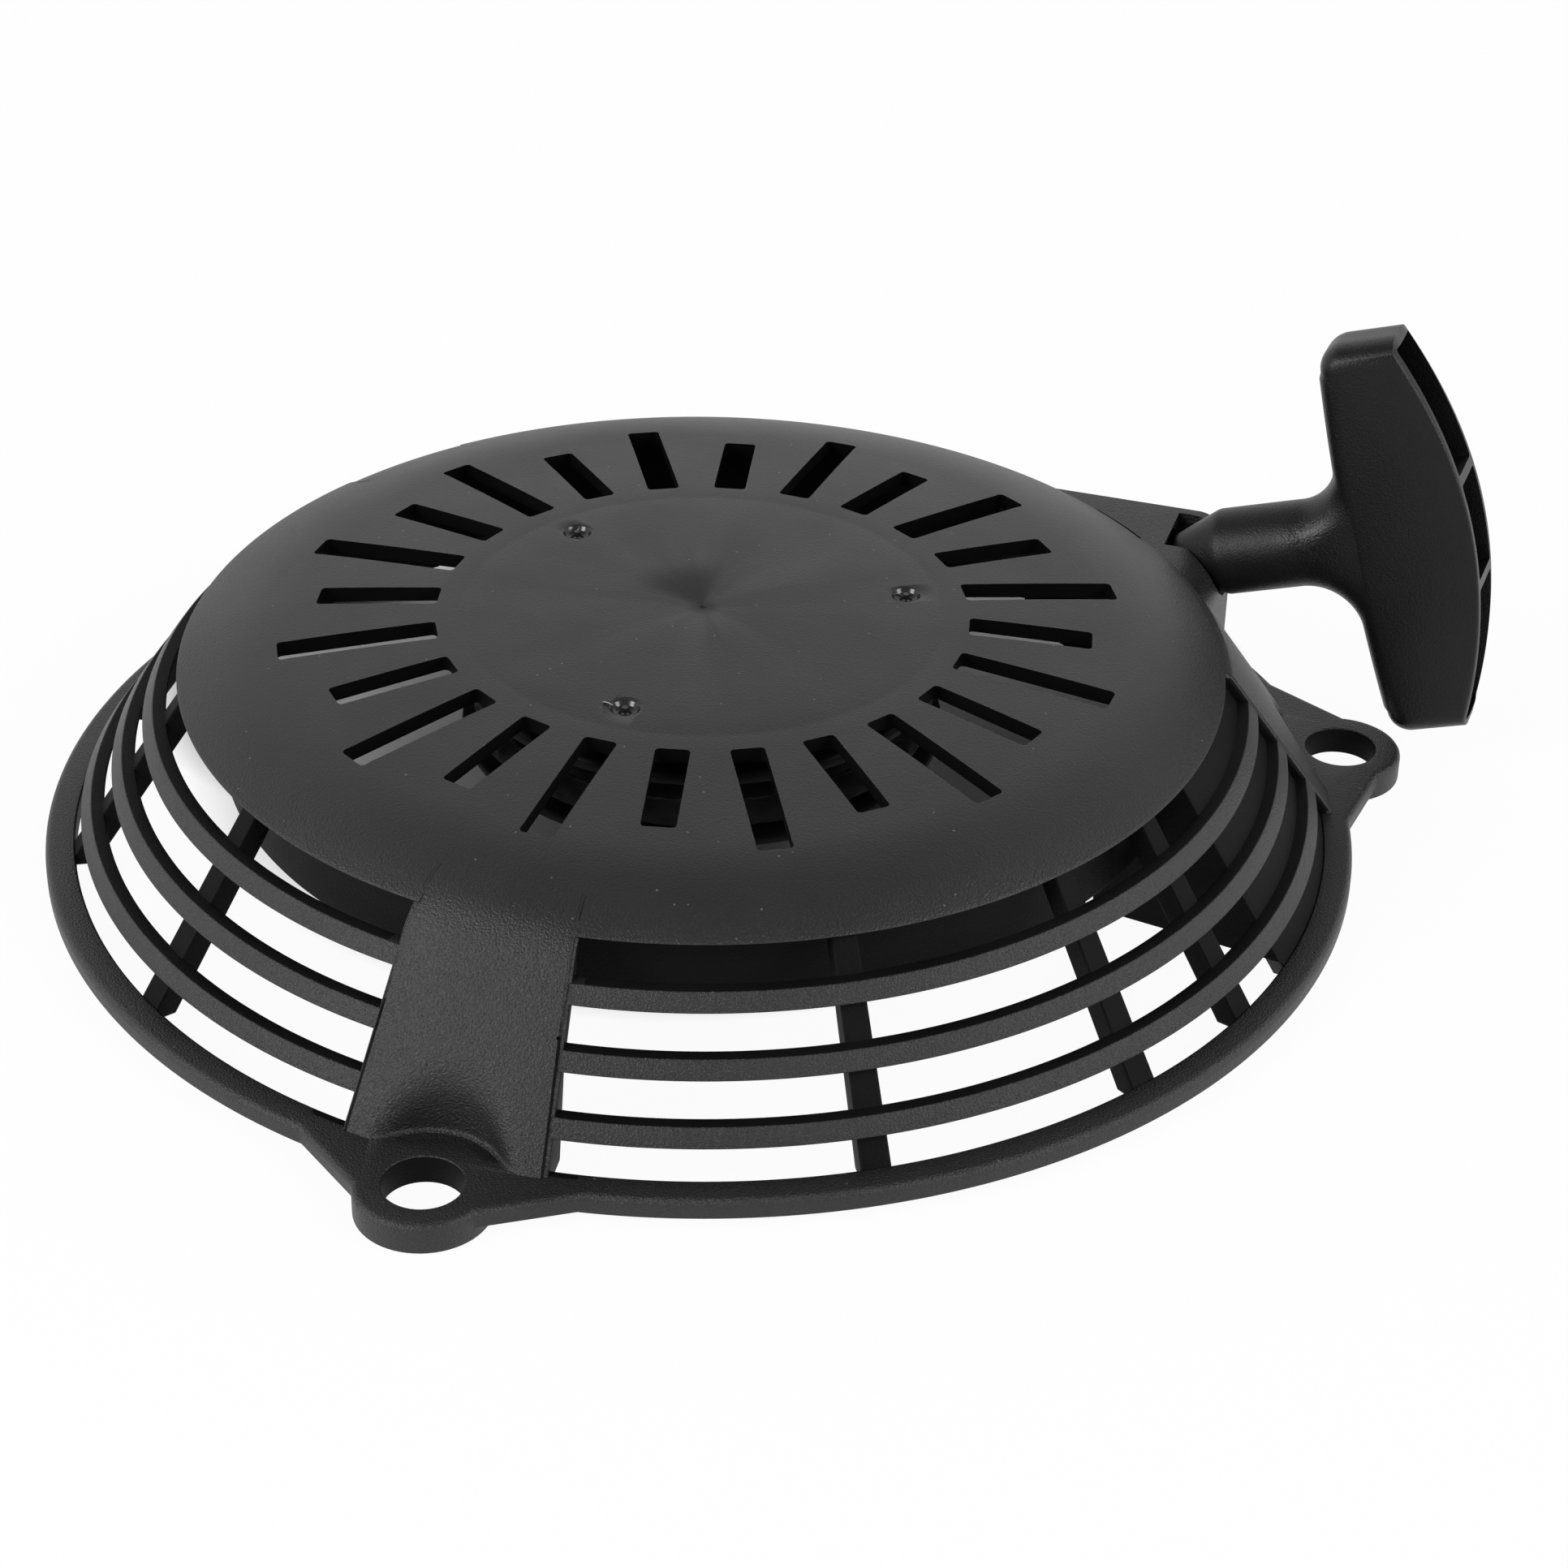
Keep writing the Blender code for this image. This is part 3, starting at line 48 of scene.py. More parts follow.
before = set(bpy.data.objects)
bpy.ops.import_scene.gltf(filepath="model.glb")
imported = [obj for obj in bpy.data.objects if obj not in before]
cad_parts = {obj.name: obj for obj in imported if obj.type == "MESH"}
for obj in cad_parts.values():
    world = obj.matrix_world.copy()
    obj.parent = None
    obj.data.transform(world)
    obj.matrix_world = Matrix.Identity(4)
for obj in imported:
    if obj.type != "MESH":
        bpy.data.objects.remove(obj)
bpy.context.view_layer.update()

# How finely round shapes are cut
RING_SEGMENTS = 288
REEL_SEGMENTS = 128
HOLE_SEGMENTS = 48
SMALL_SEGMENTS = 24
CORNER_STEPS = 4
OVERSHOOT = 0.0010
JOIN = 0.0004
GAP = 0.0003
SLIVER = 0.000002

# Base ring and mounting lugs
BASE_RADIUS = 0.100
RING_INNER = 0.0955
RING_BOTTOM = 0.0015
RING_TOP = 0.0045
LUG_ANGLES = (0.0, 120.0, 240.0)
LUG_CIRCLE = 0.1028
LUG_RADIUS = 0.0095
LUG_HOLE = 0.0056
LUG_FLANK_ANGLE = 12.5
LUG_FLANK_TANGENT = 68.0
RECESS_RADIUS = 0.01135
RECESS_DRAFT = 0.03
RECESS_FOOT = 0.0006
RECESS_WALL = 0.0018
RECESS_MARGIN = 0.0028

# Top disc
CROWN = 0.03865
DISC_RADIUS = 0.0790
ROLL_START = 0.0620
ROLL_SHOULDER = 0.0710
SKIRT_BOTTOM = 0.0307
DOME_DROP = 0.00115
DISC_WALL = 0.0024
RIM_WALL = 0.0016
SLOT_COUNT = 24
DOME_RADIUS = 0.04025
SLOT_INNER = 0.0397
SLOT_LONG = 0.0637
SLOT_SHORT = 0.0586
SLOT_HALF_WIDTH = 0.00275
SLOT_CORNER = 0.0009
GATE_CIRCLE = 0.03107
MARK_RING = 0.0363
MARK_DEPTH = 0.00005
SINK_DEPTH = 0.00040
SINK_WIDTH = 0.0052
PIN_MARK = 0.00025

# Grille
CONE_TOP = 0.0792
CONE_FOOT = 0.0973
BAND_TOPS = (0.0259, 0.018525, 0.01115)
BAND_HEIGHT = 0.00245
BAND_THICKNESS = 0.0023
STRUT_ANGLES = (62.0, 88.0, 154.0, 180.0, 206.2, 275.2, 300.8, 314.8)
STRUT_HALF_ANGLE = 1.3
STRUT_SETBACK = 0.0018
STRUT_DEPTH = 0.0043
CLOSED_SPAN = (-37.0, -9.0)
CLOSED_DEPTH = 0.0028
RIB_ANGLE = -36.6
RIB_HALF_ANGLE = 0.7
RIB_INNER = 0.0655
RIB_BOTTOM = 0.0050
PAD_HALF_ANGLE = 8.9
PAD_PROUD = 0.0002
PAD_THICKNESS = 0.0030
PAD_BLEND_START = 0.50
PAD_BLEND_SPAN = 0.22
PAD_SINK = 0.00004
PAD_LIFT = 0.00004
PAD_SOFT = 0.0030
SHAVE_START = 0.74
PANEL_LIFT = -0.00002
PANEL_SOFT = 0.0004
PANEL_EDGE_Y = -0.0190
PANEL_END_ANGLE = 19.0

# Baffle ring and centre post
BAFFLE_RADIUS = 0.0725
BAFFLE_THICKNESS = 0.0020
BAFFLE_BOTTOM = 0.0170
POST_RADIUS = 0.0070
POST_BOTTOM = 0.0112
POST_BORE = 0.0026
POST_BORE_TOP = 0.0300

# Rope guide box, in plan axes along the pull and out from the reel's axis
GUIDE_YAW = math.radians(-27.5)
GUIDE_TOP = 0.0302
GUIDE_BOTTOM = 0.0100
GUIDE_END = 0.0680
GUIDE_OUT = 0.0705
GUIDE_IN = 0.0460
GUIDE_CORNER_IN = 0.0600
GUIDE_BACK = 0.0200
GUIDE_CORNER = 0.0050
GUIDE_END_ROUND = 0.0075
SLIT_SPAN = (19.3, 27.5)
SLIT_WIDTH = 0.0007
GUIDE_WALL = 0.0022
GUIDE_BLOCK = 0.0155
NOTCH_DEPTH = 0.0095
NOTCH_HALF_WIDTH = 0.0057
NOTCH_OUT = 0.0629

# Handle: X of its own axes runs along the pull, Z along the bar
HANDLE_TIP = Vector((0.0603, 0.0617, 0.0260))
HANDLE_TIP.rotate(Euler((0, 0, GUIDE_YAW)))
HANDLE_TURN = Euler((math.radians(-5.1), math.radians(-17.2), GUIDE_YAW))
HANDLE_PLACE = Matrix.Translation(HANDLE_TIP) @ HANDLE_TURN.to_matrix().to_4x4()
PULL = HANDLE_TURN.to_matrix() @ Vector((1, 0, 0))
STEM_RADIUS = 0.0069
STEM_TIP_RADIUS = 0.0036
STEM_TAPER = 0.0078
STEM_CLEARANCE = 0.0005
BAR_FACE = 0.0280
BAR_FACE_BOW = 0.0014
BAR_CROWN = 0.0488
BAR_END_DROP = 0.0070
BAR_HALF_LENGTH = 0.0326
BAR_HALF_THICKNESS = 0.0064
BAR_CORNER = 0.0040
BAR_FILLET = 0.0060
TOP_FILLET = 0.0066
LOW_FILLET = 0.0084
BAR_EDGE_ROUND = 0.0034
BAR_EDGE_REACH = 0.0048
BAR_EDGE_POWER = 2.3
BAR_WALL = 0.0015
POCKET_FLOOR = 0.0315
RIB_CENTRE = 0.0087
RIB_HALF_THICKNESS = 0.0008

# Rope, eyelet and knots
ROPE_RADIUS = 0.0020
ROPE_HOLE = 0.0023
ROPE_BEND = HANDLE_TIP - PULL * 0.0055
BEND_RUN = 0.0060
EYELET_BORE = 0.0031
EYELET_RADIUS = 0.0046
EYELET_LENGTH = 0.0050
LOW_LOOP = 0.02245
HIGH_LOOP = 0.02695
LAYER_RADII = (0.0249, 0.02895, 0.0330)
KNOT_PLACE = 0.0145
KNOT_RADIUS = 0.0036
HANDLE_KNOT_RADIUS = 0.0044

# Reel and spring
REEL_RADIUS = 0.0365
REEL_BOTTOM = 0.0184
GROOVE_BOTTOM = 0.0202
GROOVE_TOP = 0.0292
GROOVE_RADIUS = 0.0226
UPPER_FLANGE_TOP = 0.0312
SPRING_POCKET = 0.0316
POCKET_WALL = 0.0022
SPRING_FLOOR = 0.0305
REEL_BORE = 0.0073
SPRING_TURNS = 11
SPRING_STRIP = 0.0005

# Ratchet
PAWL_CIRCLE = 0.0170
PAWL_TOP = 0.0171
PAWL_BOTTOM = 0.0140
PAWL_EYE = 0.0044
PAWL_LENGTH = 0.0156
PAWL_SWING = 30.0
PIN_RADIUS = 0.0020
PIN_LENGTH = 0.0110
PEG_RADIUS = 0.0015
PEG_PLACE = Vector((-0.0025, -0.0075))
PLATE_RADIUS = 0.0240
PLATE_TOP = 0.0137
PLATE_BOTTOM = 0.0112
PLATE_LAG = 25.0
CAM_CLEARANCE = 0.0005
RECESS_SPRING_RADIUS = 0.0042
RECESS_SPRING_DEPTH = 0.0042
PAWL_WIRE = 0.0004
PAWL_COIL = 0.0030
FRICTION_WIRE = 0.0005
FRICTION_COIL = 0.0089
FRICTION_PITCH = 0.0015

# Fasteners
WASHER_RADIUS = 0.0115
WASHER_TOP = 0.0109
WASHER_BOTTOM = 0.0096
SCREW_RADIUS = 0.0023
SCREW_TOP = 0.0093
SCREW_FLANGE_RADIUS = 0.0070
SCREW_FLANGE_BOTTOM = 0.0082
SCREW_HEAD_FLATS = 0.0100
SCREW_HEAD_BOTTOM = 0.0052
SCREW_TIP = 0.0280
KNOT_WASHER_RADIUS = 0.0046
KNOT_WASHER_LOW = 0.0318
KNOT_WASHER_HIGH = 0.0330

# Camera of the reference view, for a square image
CAMERA_PLACE = Vector((-0.07677, -0.47684, 0.30884))
CAMERA_FORWARD = Vector((0.15674, 0.83349, -0.52985))
CAMERA_ROLL = math.radians(1.1861)
CAMERA_LENS = 84.716

# Floor: circles of shade under the disc, each with its middle and the radii where it begins to fade and ends
SHADES = (
    ((0.0, 0.025, 0.0), 0.058, 0.078),
    ((-0.040, 0.048, 0.0), 0.034, 0.044),
    ((0.055, 0.038, 0.0), 0.034, 0.044),
)


class StarterFinishes(bpy.types.PropertyGroup):
    """Colours and finishes."""

    housing_colour: bpy.props.FloatVectorProperty(
        name="Housing", description="Black of the housing", subtype="COLOR", default=(0.0078, 0.0079, 0.0081)
    )
    handle_colour: bpy.props.FloatVectorProperty(
        name="Handle", description="Black of the handle", subtype="COLOR", default=(0.0042, 0.0042, 0.0044)
    )
    reel_colour: bpy.props.FloatVectorProperty(
        name="Reel", description="Black of the reel", subtype="COLOR", default=(0.0065, 0.0065, 0.0067)
    )
    plate_colour: bpy.props.FloatVectorProperty(
        name="Ratchet plate", description="Grey of the ratchet plate", subtype="COLOR", default=(0.060, 0.060, 0.062)
    )
    rope_colour: bpy.props.FloatVectorProperty(
        name="Rope", description="Black of the rope", subtype="COLOR", default=(0.012, 0.012, 0.0125)
    )
    spring_colour: bpy.props.FloatVectorProperty(
        name="Spring steel", description="Steel of the springs", subtype="COLOR", default=(0.250, 0.260, 0.280)
    )
    pawl_colour: bpy.props.FloatVectorProperty(
        name="Pawl steel", description="Steel of the pawls", subtype="COLOR", default=(0.300, 0.300, 0.310)
    )
    zinc_colour: bpy.props.FloatVectorProperty(
        name="Zinc plate", description="Plating of screw, pins and washers", subtype="COLOR", default=(0.55, 0.56, 0.58)
    )


class StarterSizes(bpy.types.PropertyGroup):
    """Sizes of the moulded detail."""

    edge_round: bpy.props.FloatProperty(
        name="Edge round", description="Rounding of moulded edges", unit="LENGTH", default=0.0003
    )
    lug_round: bpy.props.FloatProperty(
        name="Lug round", description="Rounding of the lugs' and pads' outer edges", unit="LENGTH", default=0.0009
    )
    slot_round: bpy.props.FloatProperty(
        name="Slot round", description="Rounding of the air slots' upper edges", unit="LENGTH", default=0.00025
    )
    recess_blend: bpy.props.FloatProperty(
        name="Recess blend", description="Softness of the bolt recess's edge", unit="LENGTH", default=0.0022
    )
    gate_radius: bpy.props.FloatProperty(
        name="Gate pit", description="Radius of the moulding gates' pits", unit="LENGTH", default=0.0023
    )
    floor_size: bpy.props.FloatProperty(
        name="Floor", description="Side of the floor", unit="LENGTH", default=12.0
    )


def rounded(corners, steps=CORNER_STEPS):
    """Closed outline in which each corner (a, b, radius) becomes an arc."""
    points = []
    for index, (a, b, radius) in enumerate(corners):
        here = Vector((a, b))
        back = Vector(corners[index - 1][:2]) - here
        ahead = Vector(corners[(index + 1) % len(corners)][:2]) - here
        half = back.angle(ahead) / 2
        if radius <= 0 or half > 1.55:
            points.append((a, b))
            continue
        reach = min(radius / math.tan(half), 0.48 * back.length, 0.48 * ahead.length)
        middle = (back.normalized() + ahead.normalized()).normalized()
        centre = here + middle * reach / math.cos(half)
        start = here + back.normalized() * reach - centre
        end = here + ahead.normalized() * reach - centre
        first = math.atan2(start.y, start.x)
        swing = (math.atan2(end.y, end.x) - first + math.pi) % math.tau - math.pi
        for step in range(steps + 1):
            angle = first + swing * step / steps
            points.append((centre.x + start.length * math.cos(angle), centre.y + start.length * math.sin(angle)))
    return points


def inset(outline, distance):
    """A closed outline moved inward."""
    line = np.asarray(outline, float)
    ahead = np.roll(line, -1, 0) - line
    area = (line[:, 0] * np.roll(line[:, 1], -1) - line[:, 1] * np.roll(line[:, 0], -1)).sum()
    ahead /= np.maximum(np.linalg.norm(ahead, axis=1), 1e-12)[:, None]
    side = np.stack([-ahead[:, 1], ahead[:, 0]], 1)
    mitre = side + np.roll(side, 1, 0)
    mitre /= np.maximum((mitre * mitre).sum(1) / 2, 0.3)[:, None]
    return line + math.copysign(distance, area) * mitre


def arc(centre, radius, start, end, steps):
    """Points of an arc in the plane, ends included, with angles in degrees."""
    turn = np.radians(np.linspace(start, end, steps + 1))
    return [(centre[0] + radius * math.cos(a), centre[1] + radius * math.sin(a)) for a in turn]


def turned_about_z(points, angle):
    """Plan points turned about the origin by an angle in radians."""
    c = math.cos(angle)
    s = math.sin(angle)
    return [(x * c - y * s, x * s + y * c) for x, y in points]


def quarter(steps=CORNER_STEPS):
    """Angles of a quarter turn, ends included."""
    return np.linspace(0, math.pi / 2, steps + 1)


def linked(name, mesh):
    """An object for a mesh, with outward faces."""
    shape = bmesh.new()
    shape.from_mesh(mesh)
    bmesh.ops.remove_doubles(shape, verts=shape.verts, dist=1e-8)
    bmesh.ops.recalc_face_normals(shape, faces=shape.faces)
    if shape.calc_volume(signed=True) < 0:
        bmesh.ops.reverse_faces(shape, faces=shape.faces)
    shape.to_mesh(mesh)
    shape.free()
    made = bpy.data.objects.new(name, mesh)
    bpy.context.scene.collection.objects.link(made)
    return made


def lofted(name, rings, closed=False):
    """A solid through rings of matching points; its ends are capped unless the rings close on themselves."""
    rings = np.asarray(rings, float)
    count, width = rings.shape[:2]
    index = np.arange(count * width).reshape(count, width)
    last = count if closed else count - 1
    near = index[:last]
    far = np.roll(index, -1, 0)[:last]
    quads = np.stack([near, np.roll(near, -1, 1), np.roll(far, -1, 1), far], -1).reshape(-1, 4)
    faces = quads.tolist()
    if not closed:
        faces += [index[0].tolist(), index[-1][::-1].tolist()]
    mesh = bpy.data.meshes.new(name)
    mesh.from_pydata(rings.reshape(-1, 3).tolist(), [], faces)
    return linked(name, mesh)


def turned(name, profile, segments, place=None):
    """A solid of revolution about Z of a closed profile of radii and heights."""
    line = np.asarray(profile, float)
    angles = np.arange(segments) * math.tau / segments
    rings = np.empty((segments, len(line), 3))
    rings[:, :, 0] = np.cos(angles)[:, None] * line[:, 0]
    rings[:, :, 1] = np.sin(angles)[:, None] * line[:, 0]
    rings[:, :, 2] = line[:, 1]
    made = lofted(name, rings, closed=True)
    if place:
        made.data.transform(place)
    return made


def slab(name, outline, low, high, edge=0.0, place=None, foot=None):
    """An upright plate over a plan outline, with rounded edges; the lower ones may have their own radius."""
    line = np.asarray(outline, float)
    foot = edge if foot is None else foot
    levels = [(0.0, low), (0.0, high)]
    if edge > 0:
        levels = [(foot * (1 - math.sin(q)), low + foot * (1 - math.cos(q))) for q in quarter()]
        levels += [(edge * (1 - math.cos(q)), high - edge * (1 - math.sin(q))) for q in quarter()]
    rings = []
    for distance, height in levels:
        ring = inset(line, distance)
        rings.append(np.column_stack([ring, np.full(len(ring), height)]))
    made = lofted(name, rings)
    if place:
        made.data.transform(place)
    return made


def sector(name, profile, start, end, steps, edge):
    """A piece of a turned shape between two angles in degrees, with rounded ends."""
    line = np.asarray(profile, float)
    first = math.radians(start)
    last = math.radians(end)
    stations = [(first, edge * (1 - math.cos(q)), edge * (1 - math.sin(q))) for q in quarter()]
    stations += [(first + (last - first) * step / steps, 0.0, 0.0) for step in range(1, steps)]
    stations += [(last, -edge * (1 - math.sin(q)), edge * (1 - math.cos(q))) for q in quarter()]
    rings = []
    for angle, shift, distance in stations:
        ring = inset(line, distance)
        turn = angle + shift / ring[:, 0]
        rings.append(np.column_stack([ring[:, 0] * np.cos(turn), ring[:, 0] * np.sin(turn), ring[:, 1]]))
    return lofted(name, rings)


def rod(name, radius, start, end, end_radius=None, segments=HOLE_SEGMENTS):
    """A round bar, or a cone, between two points."""
    along = Vector(end) - Vector(start)
    place = Matrix.Translation(start) @ along.to_track_quat("Z", "Y").to_matrix().to_4x4()
    far = radius if end_radius is None else end_radius
    return turned(name, [(0, 0), (radius, 0), (far, along.length), (0, along.length)], segments, place)


def flared_hole(name, radius, low, high, edge, place):
    """Cutter of a round hole with rounded rims."""
    profile = [(0, low - OVERSHOOT), (radius + edge, low - OVERSHOOT)]
    profile += [(radius + edge * (1 - math.sin(q)), low + edge * (1 - math.cos(q))) for q in quarter()]
    profile += [(radius + edge * (1 - math.cos(q)), high - edge * (1 - math.sin(q))) for q in quarter()]
    profile += [(radius + edge, high + OVERSHOOT), (0, high + OVERSHOOT)]
    return turned(name, profile, HOLE_SEGMENTS, place)


def without_slivers(mesh):
    """Merges points that a cut left almost on each other, and drops slivers and faces back to back."""
    shape = bmesh.new()
    shape.from_mesh(mesh)
    bmesh.ops.remove_doubles(shape, verts=shape.verts, dist=SLIVER)
    bmesh.ops.dissolve_degenerate(shape, edges=shape.edges, dist=SLIVER)
    corners = {}
    for face in shape.faces:
        corners.setdefault(frozenset(face.verts), []).append(face)
    fins = [face for pair in corners.values() if len(pair) == 2 for face in pair]
    bmesh.ops.delete(shape, geom=fins, context="FACES")
    shape.to_mesh(mesh)
    shape.free()


def combine(target, others, operation):
    """Adds other solids to the target, or cuts them from it."""
    for other in others:
        step = target.modifiers.new("step", "BOOLEAN")
        step.operation = operation
        step.solver = "MANIFOLD"
        step.object = other
    bpy.context.view_layer.update()
    result = bpy.data.meshes.new_from_object(target.evaluated_get(bpy.context.evaluated_depsgraph_get()))
    target.modifiers.clear()
    target.data = result
    for other in others:
        bpy.data.objects.remove(other)
    if not result.polygons:
        raise RuntimeError(f"{target.name} vanished in a {operation.lower()}")
    return target


def swept(name, path, radius, around=12, relief=None):
    """A tube along close points; relief(length, angle) scales its radius, and is kept on the points."""
    path = np.asarray(path, float)
    ahead = np.gradient(path, axis=0)
    ahead /= np.linalg.norm(ahead, axis=1)[:, None]
    length = np.concatenate([[0], np.cumsum(np.linalg.norm(np.diff(path, axis=0), axis=1))])
    side = np.cross(ahead[0], (0, 0, 1) if abs(ahead[0][2]) < 0.9 else (1, 0, 0))
    angles = np.arange(around) * math.tau / around
    rings = np.empty((len(path), around, 3))
    heights = np.zeros((len(path), around))
    for index, point in enumerate(path):
        side = side - ahead[index] * (side @ ahead[index])
        side /= np.linalg.norm(side)
        other = np.cross(ahead[index], side)
        if relief:
            heights[index] = relief(length[index], angles)
        reach = radius * (1 + heights[index])
        rings[index] = point + (np.outer(reach * np.cos(angles), side) + np.outer(reach * np.sin(angles), other))
    made = lofted(name, rings)
    if relief:
        lay = made.data.attributes.new("lay", "FLOAT", "POINT")
        lay.data.foreach_set("value", heights.ravel().astype(np.float32))
    return made


def mark_edges(mesh):
    """Stores how sharply the surface bulges at each point, for paler edges: on plastic a painted highlight with light
    rubbing, on steel rubbing.
    """
    count = len(mesh.vertices)
    place = np.empty(count * 3)
    normal = np.empty(count * 3)
    ends = np.empty(len(mesh.edges) * 2, int)
    mesh.vertices.foreach_get("co", place)
    mesh.vertices.foreach_get("normal", normal)
    mesh.edges.foreach_get("vertices", ends)
    place = place.reshape(-1, 3)
    normal = normal.reshape(-1, 3)
    first, second = ends.reshape(-1, 2).T
    step = place[second] - place[first]
    bulge = ((normal[second] - normal[first]) * step).sum(1) / np.maximum((step**2).sum(1), 2.5e-8)
    bulge = np.clip(bulge / 1500, 0, 1)
    near = np.maximum(np.bincount(first, minlength=count) + np.bincount(second, minlength=count), 1)
    value = (np.bincount(first, bulge, count) + np.bincount(second, bulge, count)) / near
    spread = (np.bincount(first, value[second], count) + np.bincount(second, value[first], count)) / near
    stored = mesh.attributes.new("bulge", "FLOAT", "POINT")
    stored.data.foreach_set("value", (0.5 * value + 0.5 * spread).astype(np.float32))


def finished(piece, finish, slot, body, *nodes):
    """Gives a piece its surface, and seats it on its body in place of CAD nodes."""
    without_slivers(piece.data)
    piece.data.shade_smooth()
    piece.data.set_sharp_from_angle(angle=math.radians(38))
    mark_edges(piece.data)
    piece.data.materials.clear()
    piece.data.materials.append(finish)
    if body:
        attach(piece, body)
    if nodes:
        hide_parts(*nodes)
    return piece


def new_finish(name):
    """A material with its shader, ready for nodes."""
    made = bpy.data.materials.new(name)
    made.use_nodes = True
    tree = made.node_tree
    return made, tree, tree.nodes["Principled BSDF"]


def add(tree, kind, inputs=(), **settings):
    """Adds a node; inputs are pairs of a socket's name or number and a value or a socket to link."""
    made = tree.nodes.new(kind)
    for key, value in settings.items():
        setattr(made, key, value)
    for key, value in inputs:
        if isinstance(value, bpy.types.NodeSocket):
            tree.links.new(value, made.inputs[key])
        else:
            made.inputs[key].default_value = value
    return made


def calc(tree, operation, first, second=0.0, third=0.0):
    """A math node's result."""
    inputs = ((0, first), (1, second), (2, third))
    return add(tree, "ShaderNodeMath", inputs, operation=operation).outputs[0]


def spread_to(tree, value, low, high, to_low, to_high):
    """Maps a value from one range to another, held at the ends."""
    inputs = (("Value", value), ("From Min", low), ("From Max", high), ("To Min", to_low), ("To Max", to_high))
    return add(tree, "ShaderNodeMapRange", inputs).outputs["Result"]


def eased_to(tree, value, low, high, to_low, to_high):
    """Maps a value from one range to another along a smooth step."""
    inputs = (("Value", value), ("From Min", low), ("From Max", high), ("To Min", to_low), ("To Max", to_high))
    return add(tree, "ShaderNodeMapRange", inputs, interpolation_type="SMOOTHSTEP").outputs["Result"]


def noise(tree, where, scale, detail=2.0, roughness=0.5):
    """A noise value between 0 and 1, with its scale per metre."""
    inputs = (("Vector", where), ("Scale", scale), ("Detail", detail), ("Roughness", roughness))
    return add(tree, "ShaderNodeTexNoise", inputs).outputs["Fac"]


def tinted(tree, value, *stops):
    """A colour ramp with stops of a place and a colour."""
    made = add(tree, "ShaderNodeValToRGB", (("Fac", value),))
    ramp = made.color_ramp
    while len(ramp.elements) < len(stops):
        ramp.elements.new(0.5)
    for element, (place, colour) in zip(ramp.elements, stops):
        element.position = place
        element.color = (*colour, 1)
    return made.outputs["Color"]


def blend_colours(tree, share, first, second):
    """Mixes two colours."""
    made = tree.nodes.new("ShaderNodeMix")
    made.data_type = "RGBA"
    for index, value in ((0, share), (6, first), (7, second)):
        if isinstance(value, bpy.types.NodeSocket):
            tree.links.new(value, made.inputs[index])
        else:
            made.inputs[index].default_value = value if index == 0 else (*value, 1)
    return made.outputs[2]


def scaled(colour, factor):
    """A colour made lighter or darker."""
    return tuple(min(channel * factor, 1.0) for channel in colour)


def object_place(tree):
    """Coordinates that travel with the piece, in metres."""
    return add(tree, "ShaderNodeTexCoord").outputs["Object"]


def bulge_of(tree):
    """The stored bulge of edges."""
    return add(tree, "ShaderNodeAttribute", attribute_name="bulge").outputs["Fac"]


def bumped(tree, shader, height, depth, strength=1.0):
    """Links a height, in shares of a depth in metres, to the shader's normal."""
    inputs = (("Height", height), ("Distance", depth), ("Strength", strength))
    tree.links.new(add(tree, "ShaderNodeBump", inputs).outputs["Normal"], shader.inputs["Normal"])


def dust_mask(tree, where, scale, share):
    """Scattered tiny specks of dust."""
    cells = add(tree, "ShaderNodeTexVoronoi", (("Vector", where), ("Scale", scale)))
    picked = add(tree, "ShaderNodeSeparateColor", (("Color", cells.outputs["Color"]),)).outputs[0]
    rare = calc(tree, "LESS_THAN", picked, share)
    small = spread_to(tree, cells.outputs["Distance"], 0.04, 0.10, 1.0, 0.0)
    return calc(tree, "MULTIPLY", rare, small)


